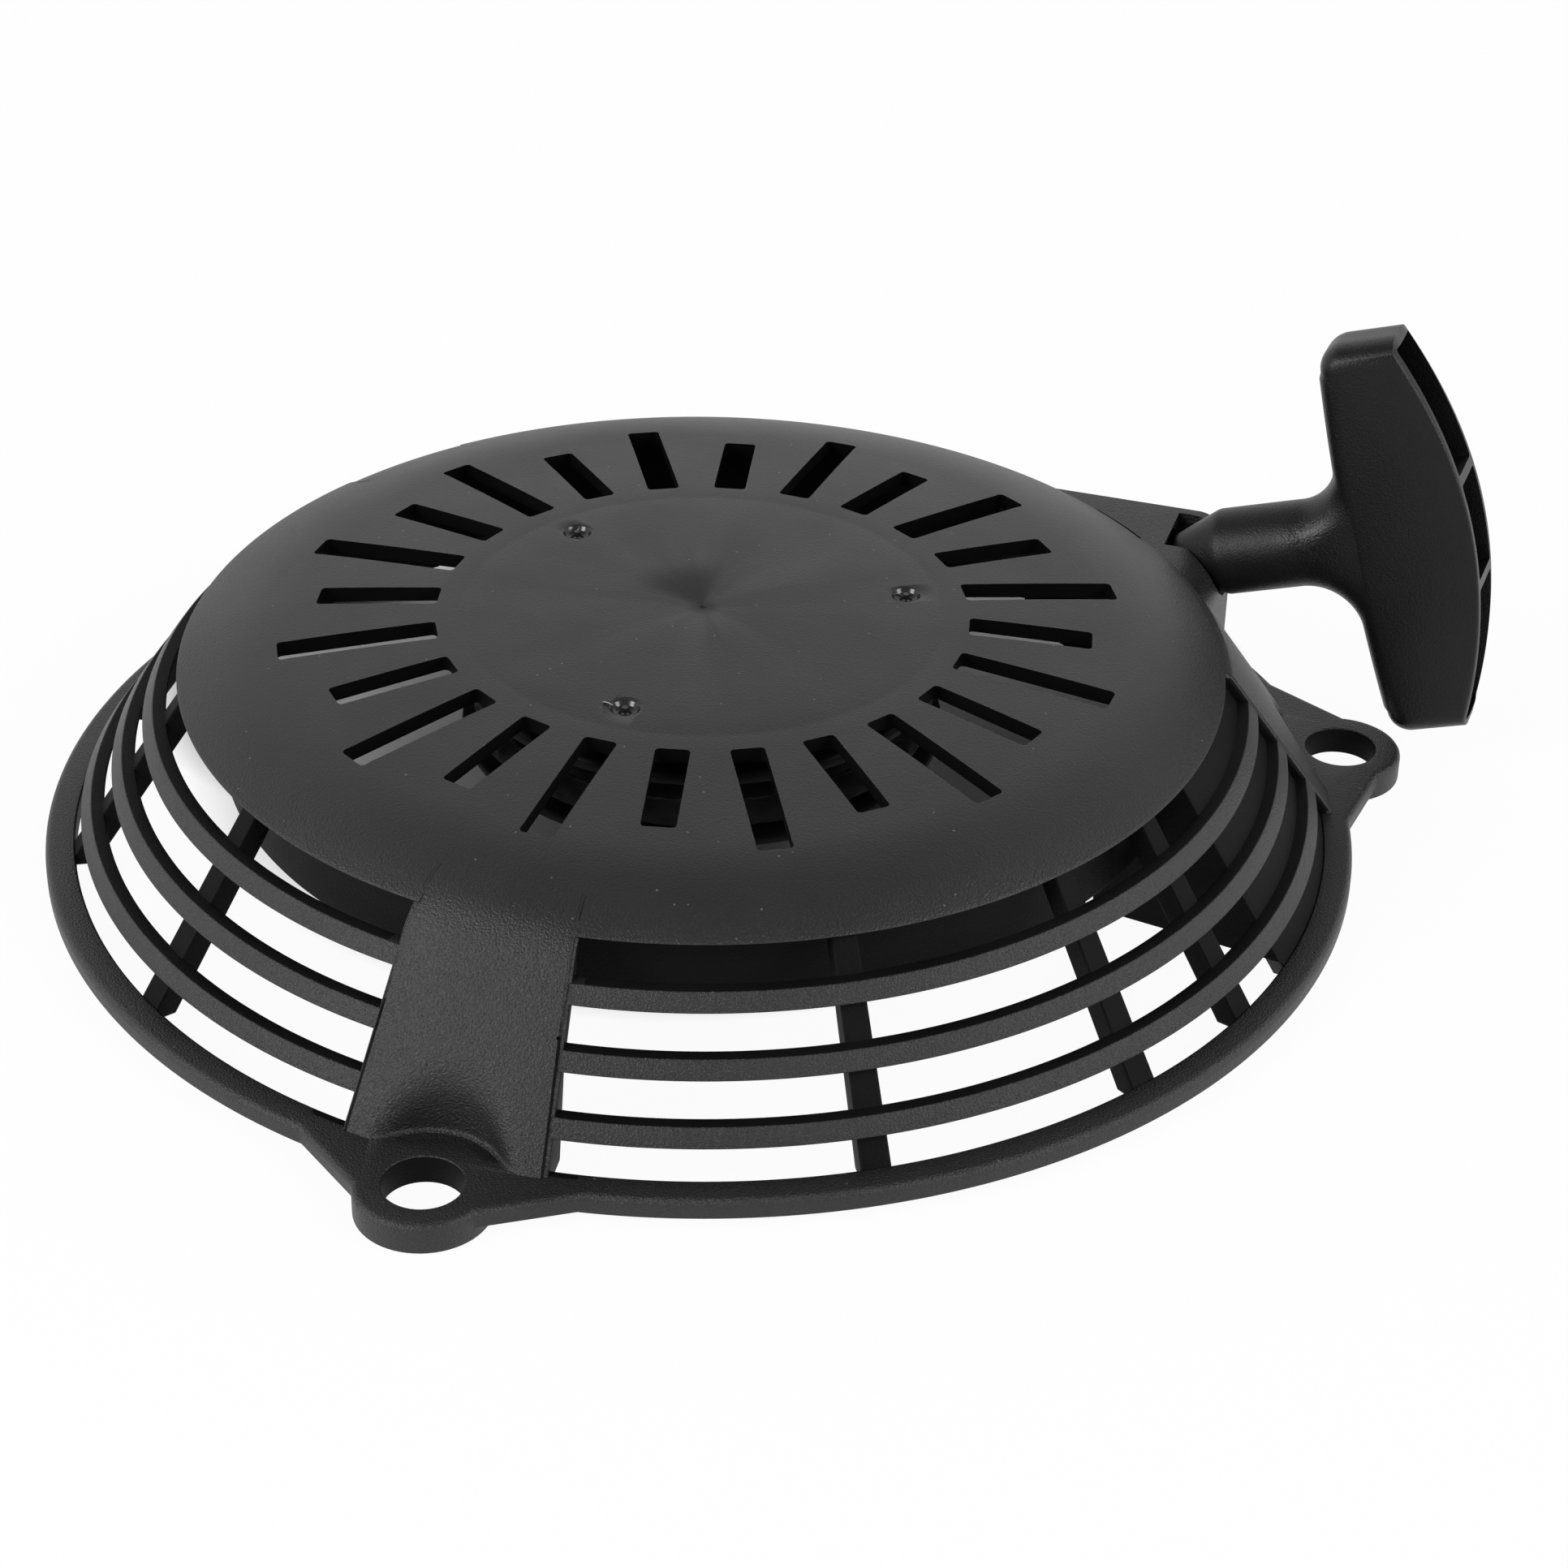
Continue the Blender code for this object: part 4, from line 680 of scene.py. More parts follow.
def moulded_plastic(name, colour, roughness, grain_depth, gloss, dusty=0.0, disc=False, rubbed_at=None):
    """Black moulded plastic with a spark-eroded grain, cloudy sheen, edges painted paler (a painted highlight with
    light rubbing) and a little dust; on the disc also a fan painted as shade.
    """
    made, tree, shader = new_finish(name)
    shader.inputs["Specular IOR Level"].default_value = gloss
    where = object_place(tree)
    grain = noise(tree, where, 2900.0, 2.0, 0.6)
    cloud = noise(tree, where, 55.0, 3.0)
    streak = cloud
    height = grain
    if disc:
        streak, height, dull_fan_and_painted_shade = disc_marks(tree, where, grain)
    # Convex edges are painted paler: a painted highlight along them, with light rubbing.
    edge_lightening = spread_to(tree, calc(tree, "ADD", bulge_of(tree), calc(tree, "MULTIPLY", cloud, 0.2)), 0.3, 0.9, 0.0, 1.0)
    base = tinted(tree, cloud, (0.30, scaled(colour, 0.80)), (0.70, scaled(colour, 1.22)))
    rubbed = blend_colours(tree, calc(tree, "MULTIPLY", edge_lightening, 0.55), base, scaled(colour, 2.2))
    if dusty:
        upward = add(tree, "ShaderNodeSeparateXYZ", (("Vector", add(tree, "ShaderNodeNewGeometry").outputs["Normal"]),))
        flat = spread_to(tree, upward.outputs["Z"], 0.6, 0.95, 0.0, 0.45)
        dust = calc(tree, "MULTIPLY", dust_mask(tree, where, 520.0, dusty), flat)
        rubbed = blend_colours(tree, dust, rubbed, (0.26, 0.26, 0.25))
    rough = spread_to(tree, streak, 0.25, 0.75, roughness - 0.05, roughness + 0.05)
    if disc:
        # Painted shade: the fan and the spot round the pin are darkened, standing in for the shade of the sink's dip
        # and the pin's hole; the roughness below makes the fan dull.
        rubbed = blend_colours(tree, calc(tree, "MULTIPLY", dull_fan_and_painted_shade, 0.7), rubbed, scaled(colour, 0.1))
        rough = calc(tree, "ADD", rough, calc(tree, "MULTIPLY", dull_fan_and_painted_shade, 0.26))
    tree.links.new(rubbed, shader.inputs["Base Color"])
    rough = calc(tree, "SUBTRACT", rough, calc(tree, "MULTIPLY", edge_lightening, 0.05))
    if rubbed_at:
        inputs = ((0, where), (1, rubbed_at))
        away = add(tree, "ShaderNodeVectorMath", inputs, operation="DISTANCE").outputs["Value"]
        patch = spread_to(tree, calc(tree, "ADD", away, calc(tree, "MULTIPLY", cloud, 0.006)), 0.0045, 0.0095, 1.0, 0.0)
        rough = calc(tree, "SUBTRACT", rough, calc(tree, "MULTIPLY", patch, 0.17))
        dents = calc(tree, "MULTIPLY", calc(tree, "MULTIPLY", noise(tree, where, 420.0, 2.0), patch), 2.5)
        height = calc(tree, "ADD", height, dents)
    tree.links.new(rough, shader.inputs["Roughness"])
    bumped(tree, shader, height, grain_depth)
    return made


def disc_marks(tree, where, grain):
    """Flow marks that run out from the disc's middle, and a grain that is finer on the disc than below it."""
    flat = add(tree, "ShaderNodeVectorMath", ((0, where), (1, (1, 1, 0))), operation="MULTIPLY").outputs[0]
    radius = add(tree, "ShaderNodeVectorMath", ((0, flat),), operation="LENGTH").outputs["Value"]
    way = add(tree, "ShaderNodeVectorMath", ((0, flat),), operation="NORMALIZE").outputs[0]
    marks = []
    for turns, reach, detail in ((1.1, 28.0, 4.0), (2.1, 22.0, 2.0)):
        around = add(tree, "ShaderNodeVectorMath", ((0, way),), operation="SCALE")
        around.inputs["Scale"].default_value = turns
        outward = add(tree, "ShaderNodeCombineXYZ", (("Z", calc(tree, "MULTIPLY", radius, reach)),))
        place = add(tree, "ShaderNodeVectorMath", ((0, around.outputs[0]), (1, outward.outputs[0])), operation="ADD")
        marks.append(noise(tree, place.outputs[0], 1.6, detail, 0.55))
    rising = spread_to(tree, radius, 0.001, 0.006, 0.0, 1.0)
    falling = spread_to(tree, radius, 0.010, 0.040, 1.0, 0.1)
    near = calc(tree, "MULTIPLY", rising, falling)
    rays = calc(tree, "MULTIPLY", calc(tree, "SUBTRACT", marks[1], 0.5), near)
    streak = calc(tree, "ADD", marks[0], calc(tree, "MULTIPLY", rays, 0.8))
    apart = add(tree, "ShaderNodeSeparateXYZ", (("Vector", where),))
    coarse = spread_to(tree, apart.outputs["Z"], 0.0285, 0.0345, 1.0, 0.28)
    height = calc(tree, "MULTIPLY", grain, coarse)
    height = calc(tree, "ADD", height, calc(tree, "MULTIPLY", rays, 0.16))
    return streak, height, fan_mark(tree, way, radius)


def fan_mark(tree, way, radius):
    """The fan beside the sink mark and a spot round the pin, as a share: the fan is dulled as the flow left it, and
    both are painted darker as shade of the sink's dip and the pin's hole.
    """
    turn = math.radians(104)
    inputs = ((0, way), (1, (math.cos(turn), math.sin(turn), 0)))
    facing = add(tree, "ShaderNodeVectorMath", inputs, operation="DOT_PRODUCT").outputs["Value"]
    wedge = eased_to(tree, facing, 0.70, 0.97, 0.0, 1.0)
    fall = eased_to(tree, radius, 0.0070, 0.0150, 1.0, 0.0)
    near = eased_to(tree, radius, 0.0004, 0.0030, 1.0, 0.0)
    return calc(tree, "MAXIMUM", calc(tree, "MULTIPLY", wedge, fall), calc(tree, "MULTIPLY", near, 0.8))


def rope_finish(name, colour, along_pull=False):
    """Braided rope: strands painted darker in their valleys as shade, with fine fibres along them."""
    made, tree, shader = new_finish(name)
    where = object_place(tree)
    if along_pull:
        lay = braid_along_pull(tree, where)
    else:
        stored = add(tree, "ShaderNodeAttribute", attribute_name="lay").outputs["Fac"]
        lay = spread_to(tree, stored, -0.09, 0.0, 0.0, 1.0)
    fibre = noise(tree, where, 5200.0, 2.0, 0.6)
    soil = noise(tree, where, 90.0, 3.0)
    height = calc(tree, "ADD", lay, calc(tree, "MULTIPLY", fibre, 0.5))
    # Painted shade darkens the strands' valleys; the soil noise adds a patchy tone.
    shade = calc(tree, "ADD", calc(tree, "MULTIPLY", height, 0.55), calc(tree, "MULTIPLY", soil, 0.25))
    stops = ((0.10, scaled(colour, 0.45)), (0.45, scaled(colour, 0.85)), (0.85, scaled(colour, 1.08)))
    tree.links.new(tinted(tree, shade, *stops), shader.inputs["Base Color"])
    tree.links.new(spread_to(tree, fibre, 0.2, 0.8, 0.72, 0.92), shader.inputs["Roughness"])
    shader.inputs["Sheen Weight"].default_value = 0.10
    shader.inputs["Specular IOR Level"].default_value = 0.12
    bumped(tree, shader, height, 0.00012, 0.8)
    return made


def braid_along_pull(tree, where):
    """Braid that keeps its lay along the pull, however far the rope is drawn out."""
    inverse = HANDLE_PLACE.inverted()
    inputs = (("Vector", where), ("Location", inverse.to_translation()), ("Rotation", inverse.to_euler()))
    local = add(tree, "ShaderNodeMapping", inputs)
    apart = add(tree, "ShaderNodeSeparateXYZ", (("Vector", local.outputs[0]),))
    angle = calc(tree, "MULTIPLY", calc(tree, "ARCTAN2", apart.outputs["Z"], apart.outputs["Y"]), 4.0)
    turn = calc(tree, "MULTIPLY", apart.outputs["X"], math.tau / BRAID_PERIOD)
    left = calc(tree, "COSINE", calc(tree, "ADD", angle, turn))
    right = calc(tree, "COSINE", calc(tree, "SUBTRACT", angle, turn))
    return spread_to(tree, calc(tree, "MAXIMUM", left, right), -0.8, 1.0, 0.0, 1.0)


def spring_finish(name, colour):
    """Blued spring steel with drawing marks and a film of oil."""
    made, tree, shader = new_finish(name)
    where = object_place(tree)
    streak = noise(tree, where, 900.0, 4.0, 0.7)
    stain = noise(tree, where, 130.0, 3.0)
    shade = calc(tree, "ADD", calc(tree, "MULTIPLY", streak, 0.4), calc(tree, "MULTIPLY", stain, 0.6))
    blued = (colour[0] * 0.55, colour[1] * 0.62, colour[2] * 0.85)
    tree.links.new(tinted(tree, shade, (0.35, blued), (0.65, colour)), shader.inputs["Base Color"])
    shader.inputs["Metallic"].default_value = 1.0
    rough = calc(tree, "SUBTRACT", spread_to(tree, streak, 0.3, 0.7, 0.26, 0.46), calc(tree, "MULTIPLY", bulge_of(tree), 0.06))
    tree.links.new(rough, shader.inputs["Roughness"])
    bumped(tree, shader, streak, 0.00001, 0.6)
    return made


def steel_finish(name, colour, scale, low, high, pale):
    """Plain or plated steel: cloudy, scratched, and bright where its edges are rubbed."""
    made, tree, shader = new_finish(name)
    where = object_place(tree)
    cloud = noise(tree, where, 260.0, 4.0, 0.6)
    scratch = noise(tree, where, scale, 5.0, 0.7)
    edge_lightening = spread_to(tree, bulge_of(tree), 0.15, 0.7, 0.0, 0.6)
    base = tinted(tree, cloud, (0.30, scaled(colour, 0.78)), (0.70, scaled(colour, 1.10)))
    tree.links.new(blend_colours(tree, edge_lightening, base, pale), shader.inputs["Base Color"])
    shader.inputs["Metallic"].default_value = 1.0
    tree.links.new(spread_to(tree, scratch, 0.3, 0.7, low, high), shader.inputs["Roughness"])
    bumped(tree, shader, scratch, 0.00001, 0.5)
    return made


BRAID_PERIOD = 0.0052


def dome(radius):
    """Height of the disc's crowned top."""
    return CROWN - DOME_DROP * (radius / DOME_RADIUS) ** 2


def cone(height):
    """Radius of the grille's outer face."""
    return CONE_TOP + (CONE_FOOT - CONE_TOP) * (SKIRT_BOTTOM - height) / (SKIRT_BOTTOM - RING_TOP)


def roll_point(share):
    """A point of the curve that rolls the disc's top over into its skirt."""
    start = Vector((ROLL_START, dome(ROLL_START)))
    shoulder = Vector((ROLL_SHOULDER, dome(ROLL_SHOULDER)))
    end = Vector((DISC_RADIUS, SKIRT_BOTTOM))
    return tuple(start * (1 - share) ** 2 + shoulder * 2 * share * (1 - share) + end * share**2)


def disc_body():
    """Disc, skirt, baffle ring and centre post, with the sink mark over the post."""
    corners = []
    for radius in np.concatenate([(0.0, 0.00025, 0.00045, 0.00060), np.arange(0.0012, 0.0161, 0.0008)]):
        low = SINK_DEPTH * math.exp(-((radius / SINK_WIDTH) ** 2)) + (PIN_MARK if radius < 0.0005 else 0)
        corners.append((radius, dome(radius) - low, 0))
    corners += [(radius, dome(radius) - MARK_DEPTH * 0.2, 0) for radius in np.arange(0.0190, MARK_RING, 0.0042)]
    corners += [(MARK_RING, dome(MARK_RING) - MARK_DEPTH, 0), (MARK_RING + 0.0006, dome(MARK_RING + 0.0006), 0)]
    corners += [(radius, dome(radius), 0) for radius in np.arange(0.0400, ROLL_START - 0.0010, 0.0042)]
    corners += [(*roll_point(step / 16), 0) for step in range(16)]
    under = roll_point(0.75)
    corners += [(DISC_RADIUS, SKIRT_BOTTOM, 0.0004), (DISC_RADIUS - RIM_WALL, SKIRT_BOTTOM, 0.0003)]
    corners += [(under[0], under[1] - RIM_WALL, 0)]
    inner = BAFFLE_RADIUS - BAFFLE_THICKNESS
    corners += [
        (BAFFLE_RADIUS, dome(BAFFLE_RADIUS) - DISC_WALL, 0.0008),
        (BAFFLE_RADIUS, BAFFLE_BOTTOM, 0.0005),
        (inner, BAFFLE_BOTTOM, 0.0005),
        (inner, dome(inner) - DISC_WALL, 0.0008),
        (DOME_RADIUS, dome(DOME_RADIUS) - DISC_WALL, 0),
        (POST_RADIUS, dome(POST_RADIUS) - DISC_WALL, 0.0012),
        (POST_RADIUS, POST_BOTTOM, 0.0004),
        (POST_BORE, POST_BOTTOM, 0.0003),
        (POST_BORE, POST_BORE_TOP, 0),
        (0.0, POST_BORE_TOP, 0),
    ]
    return turned("housing_moulding", rounded(corners), RING_SEGMENTS)


def grille_rings(edge):
    """The three bands and the base ring."""
    made = []
    for top in BAND_TOPS:
        low = top - BAND_HEIGHT
        corners = [
            (cone(top), top, edge * 0.8),
            (cone(low), low, edge * 0.4),
            (cone(low) - BAND_THICKNESS, low, edge * 0.8),
            (cone(top) - BAND_THICKNESS, top, edge * 0.8),
        ]
        made.append(turned("band", rounded(corners), RING_SEGMENTS))
    corners = [
        (RING_INNER, RING_TOP, edge),
        (BASE_RADIUS, RING_TOP, 0.0011),
        (BASE_RADIUS, RING_BOTTOM, edge),
        (RING_INNER, RING_BOTTOM, edge),
    ]
    made.append(turned("base_ring", rounded(corners, 6), RING_SEGMENTS))
    return made


def strut_profile(setback, depth):
    """Side view of what runs down behind the bands."""
    top = SKIRT_BOTTOM + RIM_WALL / 2
    bottom = RING_BOTTOM + 0.0010
    return [
        (cone(top) - setback, top),
        (cone(bottom) - setback, bottom),
        (cone(bottom) - setback - depth, bottom),
        (cone(top) - setback - depth, top),
    ]


def grille_struts(edge):
    """Struts, the closed wall beside the panel and the deep rib at its end."""
    side = strut_profile(STRUT_SETBACK, STRUT_DEPTH)
    made = [sector("strut", side, a - STRUT_HALF_ANGLE, a + STRUT_HALF_ANGLE, 4, edge) for a in STRUT_ANGLES]
    made.append(sector("closed_wall", strut_profile(STRUT_SETBACK, CLOSED_DEPTH), *CLOSED_SPAN, 24, edge))
    rib = [side[0], (cone(RIB_BOTTOM) - STRUT_SETBACK, RIB_BOTTOM), (RIB_INNER, RIB_BOTTOM), (RIB_INNER, side[0][1])]
    made.append(sector("rib", rib, RIB_ANGLE - RIB_HALF_ANGLE, RIB_ANGLE + RIB_HALF_ANGLE, 2, edge * 0.8))
    return made


def soft_least(first, second, soft):
    """The lesser of two values, with the corner between them rounded off."""
    share = np.maximum(soft - np.abs(first - second), 0) / soft
    return np.minimum(first, second) - share**2 * soft / 4


def pad_faces(heights, lift, soft):
    """Radii of a pad's outer and inner faces: it rises out of the rolled rim and bends down along the cone."""
    shares = np.linspace(PAD_BLEND_START, 1, 60)
    roll = np.array([roll_point(share) for share in shares])
    along = np.gradient(roll, axis=0)
    along /= np.linalg.norm(along, axis=1)[:, None]
    risen = (lift + PAD_SINK) * smooth((shares - PAD_BLEND_START) / PAD_BLEND_SPAN) - PAD_SINK
    roll = roll + np.column_stack([-along[:, 1], along[:, 0]]) * risen[:, None]
    end = roll[-1]
    below = end[0] + along[-1][0] / along[-1][1] * (heights - end[1])
    rim = np.where(heights > end[1], np.interp(heights, roll[::-1, 1], roll[::-1, 0]), below)
    outer = soft_least(rim, cone(heights) + PAD_PROUD, soft)
    recess_top = RING_TOP + RECESS_RADIUS
    foot = LUG_CIRCLE - RECESS_RADIUS - RECESS_WALL
    knee = min(foot - RECESS_DRAFT * RECESS_RADIUS, cone(recess_top) - PAD_THICKNESS)
    marks = [(0.0025, foot), (recess_top, knee), (0.0303, cone(0.0303) - PAD_THICKNESS), (0.0309, 0.0772)]
    inner = np.interp(heights, *zip(*marks))
    return outer, np.where(heights > 0.0309, outer - 0.0007, np.minimum(inner, outer - 0.0007))


def rim_shaver(degrees):
    """Takes the rim's corner away behind a pad's bend, so that the bend runs on into the disc."""
    heights = np.linspace(roll_point(SHAVE_START)[1], SKIRT_BOTTOM - OVERSHOOT, 40)
    outer = pad_faces(heights, PAD_LIFT, PAD_SOFT)[0] - 2 * PAD_LIFT
    far = DISC_RADIUS + 4 * OVERSHOOT
    side = list(zip(outer, heights))
    side += [(far, heights[-1]), (far, heights[0] + 2 * OVERSHOOT), (outer[0], heights[0] + 2 * OVERSHOOT)]
    reach = PAD_HALF_ANGLE - 0.8
    return sector("rim_shaver", side, degrees - reach, degrees + reach, 16, 0.0)


def pad_heights():
    """Heights at which a pad is cut, closer together at its top and round the scoop's ledge."""
    top = roll_point(PAD_BLEND_START)[1] - PAD_SINK
    parts = ((top, 0.0310, 26), (0.0307, 0.0075, 48), (0.0073, 0.0040, 22), (0.0034, 0.0025, 2))
    share = 1
    return np.concatenate([np.linspace(high, low, max(2, count // share)) for high, low, count in parts])


def pad_solid(name, lug_angle, start_of, end_of, edge, soft, top):
    """A pad over a lug, with the scoop that clears the bolt's head blended into its face."""
    wide = 60
    heights = pad_heights()
    outer, inner = pad_faces(heights, *top)
    first = start_of(outer)
    last = end_of(outer)
    stations = [(0.0, edge * (1 - math.cos(q)), edge * (1 - math.sin(q))) for q in quarter()]
    stations += [(step / wide, 0.0, 0.0) for step in range(1, wide)]
    stations += [(1.0, -edge * (1 - math.sin(q)), edge * (1 - math.cos(q))) for q in quarter()]
    rings = []
    for share, shift, pinch in stations:
        turn = first + (last - first) * share + shift / outer
        slim = np.minimum(pinch, 0.3 * (outer - inner))
        face = scooped(turn - lug_angle, heights, outer, inner, soft) - slim
        back = inner + slim
        front_points = np.column_stack([face * np.cos(turn), face * np.sin(turn), heights])
        back_points = np.column_stack([back * np.cos(turn), back * np.sin(turn), heights])
        rings.append(np.concatenate([front_points, back_points[::-1]]))
    return lofted(name, rings)


def scooped(turn, heights, outer, inner, soft):
    """Radius of the pad's face after the bolt's scoop, found by halving."""
    scoop = RECESS_RADIUS + RECESS_DRAFT * (heights - RING_TOP)
    low_part = np.clip((RING_TOP + RECESS_FOOT - heights) / RECESS_FOOT, 0, 1)
    scoop = scoop - RECESS_FOOT * (1 - np.sqrt(1 - low_part**2))
    low = inner.copy()
    high = outer + 0.0002
    for _ in range(26):
        middle = (low + high) / 2
        reach = np.hypot(middle * np.cos(turn) - LUG_CIRCLE, middle * np.sin(turn))
        solid = soft_least(outer - middle, reach - scoop, soft) > 0
        low = np.where(solid, middle, low)
        high = np.where(solid, high, middle)
    return (low + high) / 2


def grille_pads(edge, soft):
    """The two pads and the wide panel, each over a lug."""
    half = math.radians(PAD_HALF_ANGLE)
    end = math.radians(PANEL_END_ANGLE)
    made = []
    for degrees in LUG_ANGLES[1:]:
        middle = math.radians(degrees)
        first = lambda radii, angle=middle - half: radii * 0 + angle
        last = lambda radii, angle=middle + half: radii * 0 + angle
        made.append(pad_solid("pad", middle, first, last, edge, soft, (PAD_LIFT, PAD_SOFT)))
    first = lambda radii: np.arcsin(PANEL_EDGE_Y / radii)
    last = lambda radii: radii * 0 + end
    made.append(pad_solid("panel", 0.0, first, last, edge, soft, (PANEL_LIFT, PANEL_SOFT)))
    return made


def lug_plan():
    """Outline of a lug's plate on +X, running tangent into the base ring."""
    flank = math.radians(LUG_FLANK_ANGLE)
    outline = arc((LUG_CIRCLE, 0), LUG_RADIUS - 0.0002, -LUG_FLANK_TANGENT, LUG_FLANK_TANGENT, 24)
    inside = RING_INNER + JOIN
    reach = BASE_RADIUS - JOIN
    outline += [(reach * math.cos(flank), reach * math.sin(flank))]
    outline += arc((0, 0), inside, LUG_FLANK_ANGLE, -LUG_FLANK_ANGLE, 8)
    outline += [(reach * math.cos(flank), -reach * math.sin(flank))]
    return outline


def lug_solids(degrees, edge):
    """The plate and the boss of a lug, and the floor of the scoop inside the ring."""
    turn = Matrix.Rotation(math.radians(degrees), 4, "Z")
    plate = slab("lug_plate", lug_plan(), RING_BOTTOM + JOIN / 2, RING_TOP, edge, turn, edge / 3)
    circle = arc((LUG_CIRCLE, 0), LUG_RADIUS, 0, 360 - 360 / 64, 63)
    boss = slab("lug_boss", circle, 0.0, RING_TOP, edge, turn, edge / 4)
    under = arc((LUG_CIRCLE, 0), RECESS_RADIUS + JOIN, 118, 242, 40)
    floor = slab("scoop_floor", under, RING_BOTTOM + JOIN, RING_TOP - JOIN / 8, 0.0, turn)
    return [plate, boss, floor]


def band_cutter(degrees):
    """Takes the bands away where a pad's scoop goes through them."""
    place = Matrix.Rotation(math.radians(degrees), 4, "Z") @ Matrix.Translation((LUG_CIRCLE, 0, 0))
    low = RING_TOP + JOIN / 2
    high = RING_TOP + 0.0120
    wide = RECESS_RADIUS + RECESS_MARGIN
    profile = [(0, low), (wide, low), (wide + RECESS_DRAFT * (high - low), high), (0, high)]
    return turned("band_gap", profile, HOLE_SEGMENTS, place)


def lug_cutter(degrees, edge):
    """The bolt hole of a lug."""
    place = Matrix.Rotation(math.radians(degrees), 4, "Z") @ Matrix.Translation((LUG_CIRCLE, 0, 0))
    return flared_hole("lug_hole", LUG_HOLE, 0.0, RING_TOP, edge, place)


def slot_cutter(index, edge):
    """One air slot through the disc, with a rounded upper edge that follows the dome."""
    outer = SLOT_SHORT if index % 2 else SLOT_LONG
    side = SLOT_HALF_WIDTH
    corners = [(SLOT_INNER, -side), (outer, -side), (outer, side), (SLOT_INNER, side)]
    outline = np.array(rounded([(x, y, SLOT_CORNER) for x, y in corners]))
    dense = []
    for here, ahead in zip(outline, np.roll(outline, -1, 0)):
        pieces = max(1, int(np.linalg.norm(ahead - here) / 0.0025))
        dense += [here + (ahead - here) * step / pieces for step in range(pieces)]
    turn = math.tau * index / SLOT_COUNT
    levels = [(-edge, OVERSHOOT)] + [(-edge * (1 - math.sin(q)), -edge * (1 - math.cos(q))) for q in quarter()]
    rings = []
    for distance, lift in levels + [(0.0, None)]:
        ring = inset(dense, distance)
        radius = np.hypot(ring[:, 0], ring[:, 1])
        height = np.full(len(ring), SKIRT_BOTTOM) if lift is None else dome(radius) + lift
        rings.append(np.column_stack([turned_about_z(ring, turn), height]))
    return lofted("slot", rings)


def gate_cutter(degrees, radius):
    """A pit left by a moulding gate, with a stub in it."""
    corners = [
        (0.00040, 0.0008, 0),
        (0.00055, -0.00080, 0.0002),
        (radius * 0.42, -0.00120, 0.0004),
        (radius * 0.78, -0.00090, 0.0005),
        (radius * 0.96, -0.00020, 0.0003),
        (radius * 1.15, 0.00006, 0),
        (radius * 1.15, 0.0008, 0),
    ]
    place = Matrix.Rotation(math.radians(degrees), 4, "Z")
    place = place @ Matrix.Translation((GATE_CIRCLE, 0, dome(GATE_CIRCLE)))
    return turned("gate_pit", rounded(corners), SMALL_SEGMENTS, place)


def guide_plan(points):
    """Plan points given along the pull and out from the reel's axis, in the frame's axes."""
    return turned_about_z(points, GUIDE_YAW)


def guide_box(edge):
    """The rope guide box, whose end rounds down towards the handle, with a slit beside the disc's rim."""
    low_in = GUIDE_IN - 0.0020
    corners = [
        (GUIDE_END, low_in, edge),
        (GUIDE_END, GUIDE_OUT, GUIDE_CORNER),
        (GUIDE_BACK, GUIDE_OUT, edge),
        (GUIDE_CORNER_IN, low_in, edge),
    ]
    box = slab("guide_box", guide_plan(rounded(corners, 8)), GUIDE_BOTTOM, GUIDE_TOP, edge)
    start = GUIDE_END - GUIDE_END_ROUND
    waste = arc((start, GUIDE_TOP - GUIDE_END_ROUND), GUIDE_END_ROUND, 90, 0, 20)
    waste += [(GUIDE_END + OVERSHOOT, GUIDE_TOP - GUIDE_END_ROUND), (GUIDE_END + OVERSHOOT, GUIDE_TOP + OVERSHOOT)]
    waste += [(start, GUIDE_TOP + OVERSHOOT)]
    upright = Matrix(((1, 0, 0, 0), (0, 0, -1, 0), (0, 1, 0, 0), (0, 0, 0, 1)))
    place = Matrix.Rotation(GUIDE_YAW, 4, "Z") @ upright
    end_round = slab("end_round", waste, -GUIDE_OUT - OVERSHOOT, OVERSHOOT - low_in, 0.0, place)
    near = DISC_RADIUS + 0.00005
    far = DISC_RADIUS + SLIT_WIDTH
    high = GUIDE_TOP + OVERSHOOT
    side = [(far, high), (far, GUIDE_TOP - GUIDE_WALL / 2), (near, GUIDE_TOP - GUIDE_WALL / 2), (near, high)]
    slit = sector("slit", side, *SLIT_SPAN, 6, 0.0)
    return combine(box, [end_round, slit], "DIFFERENCE")


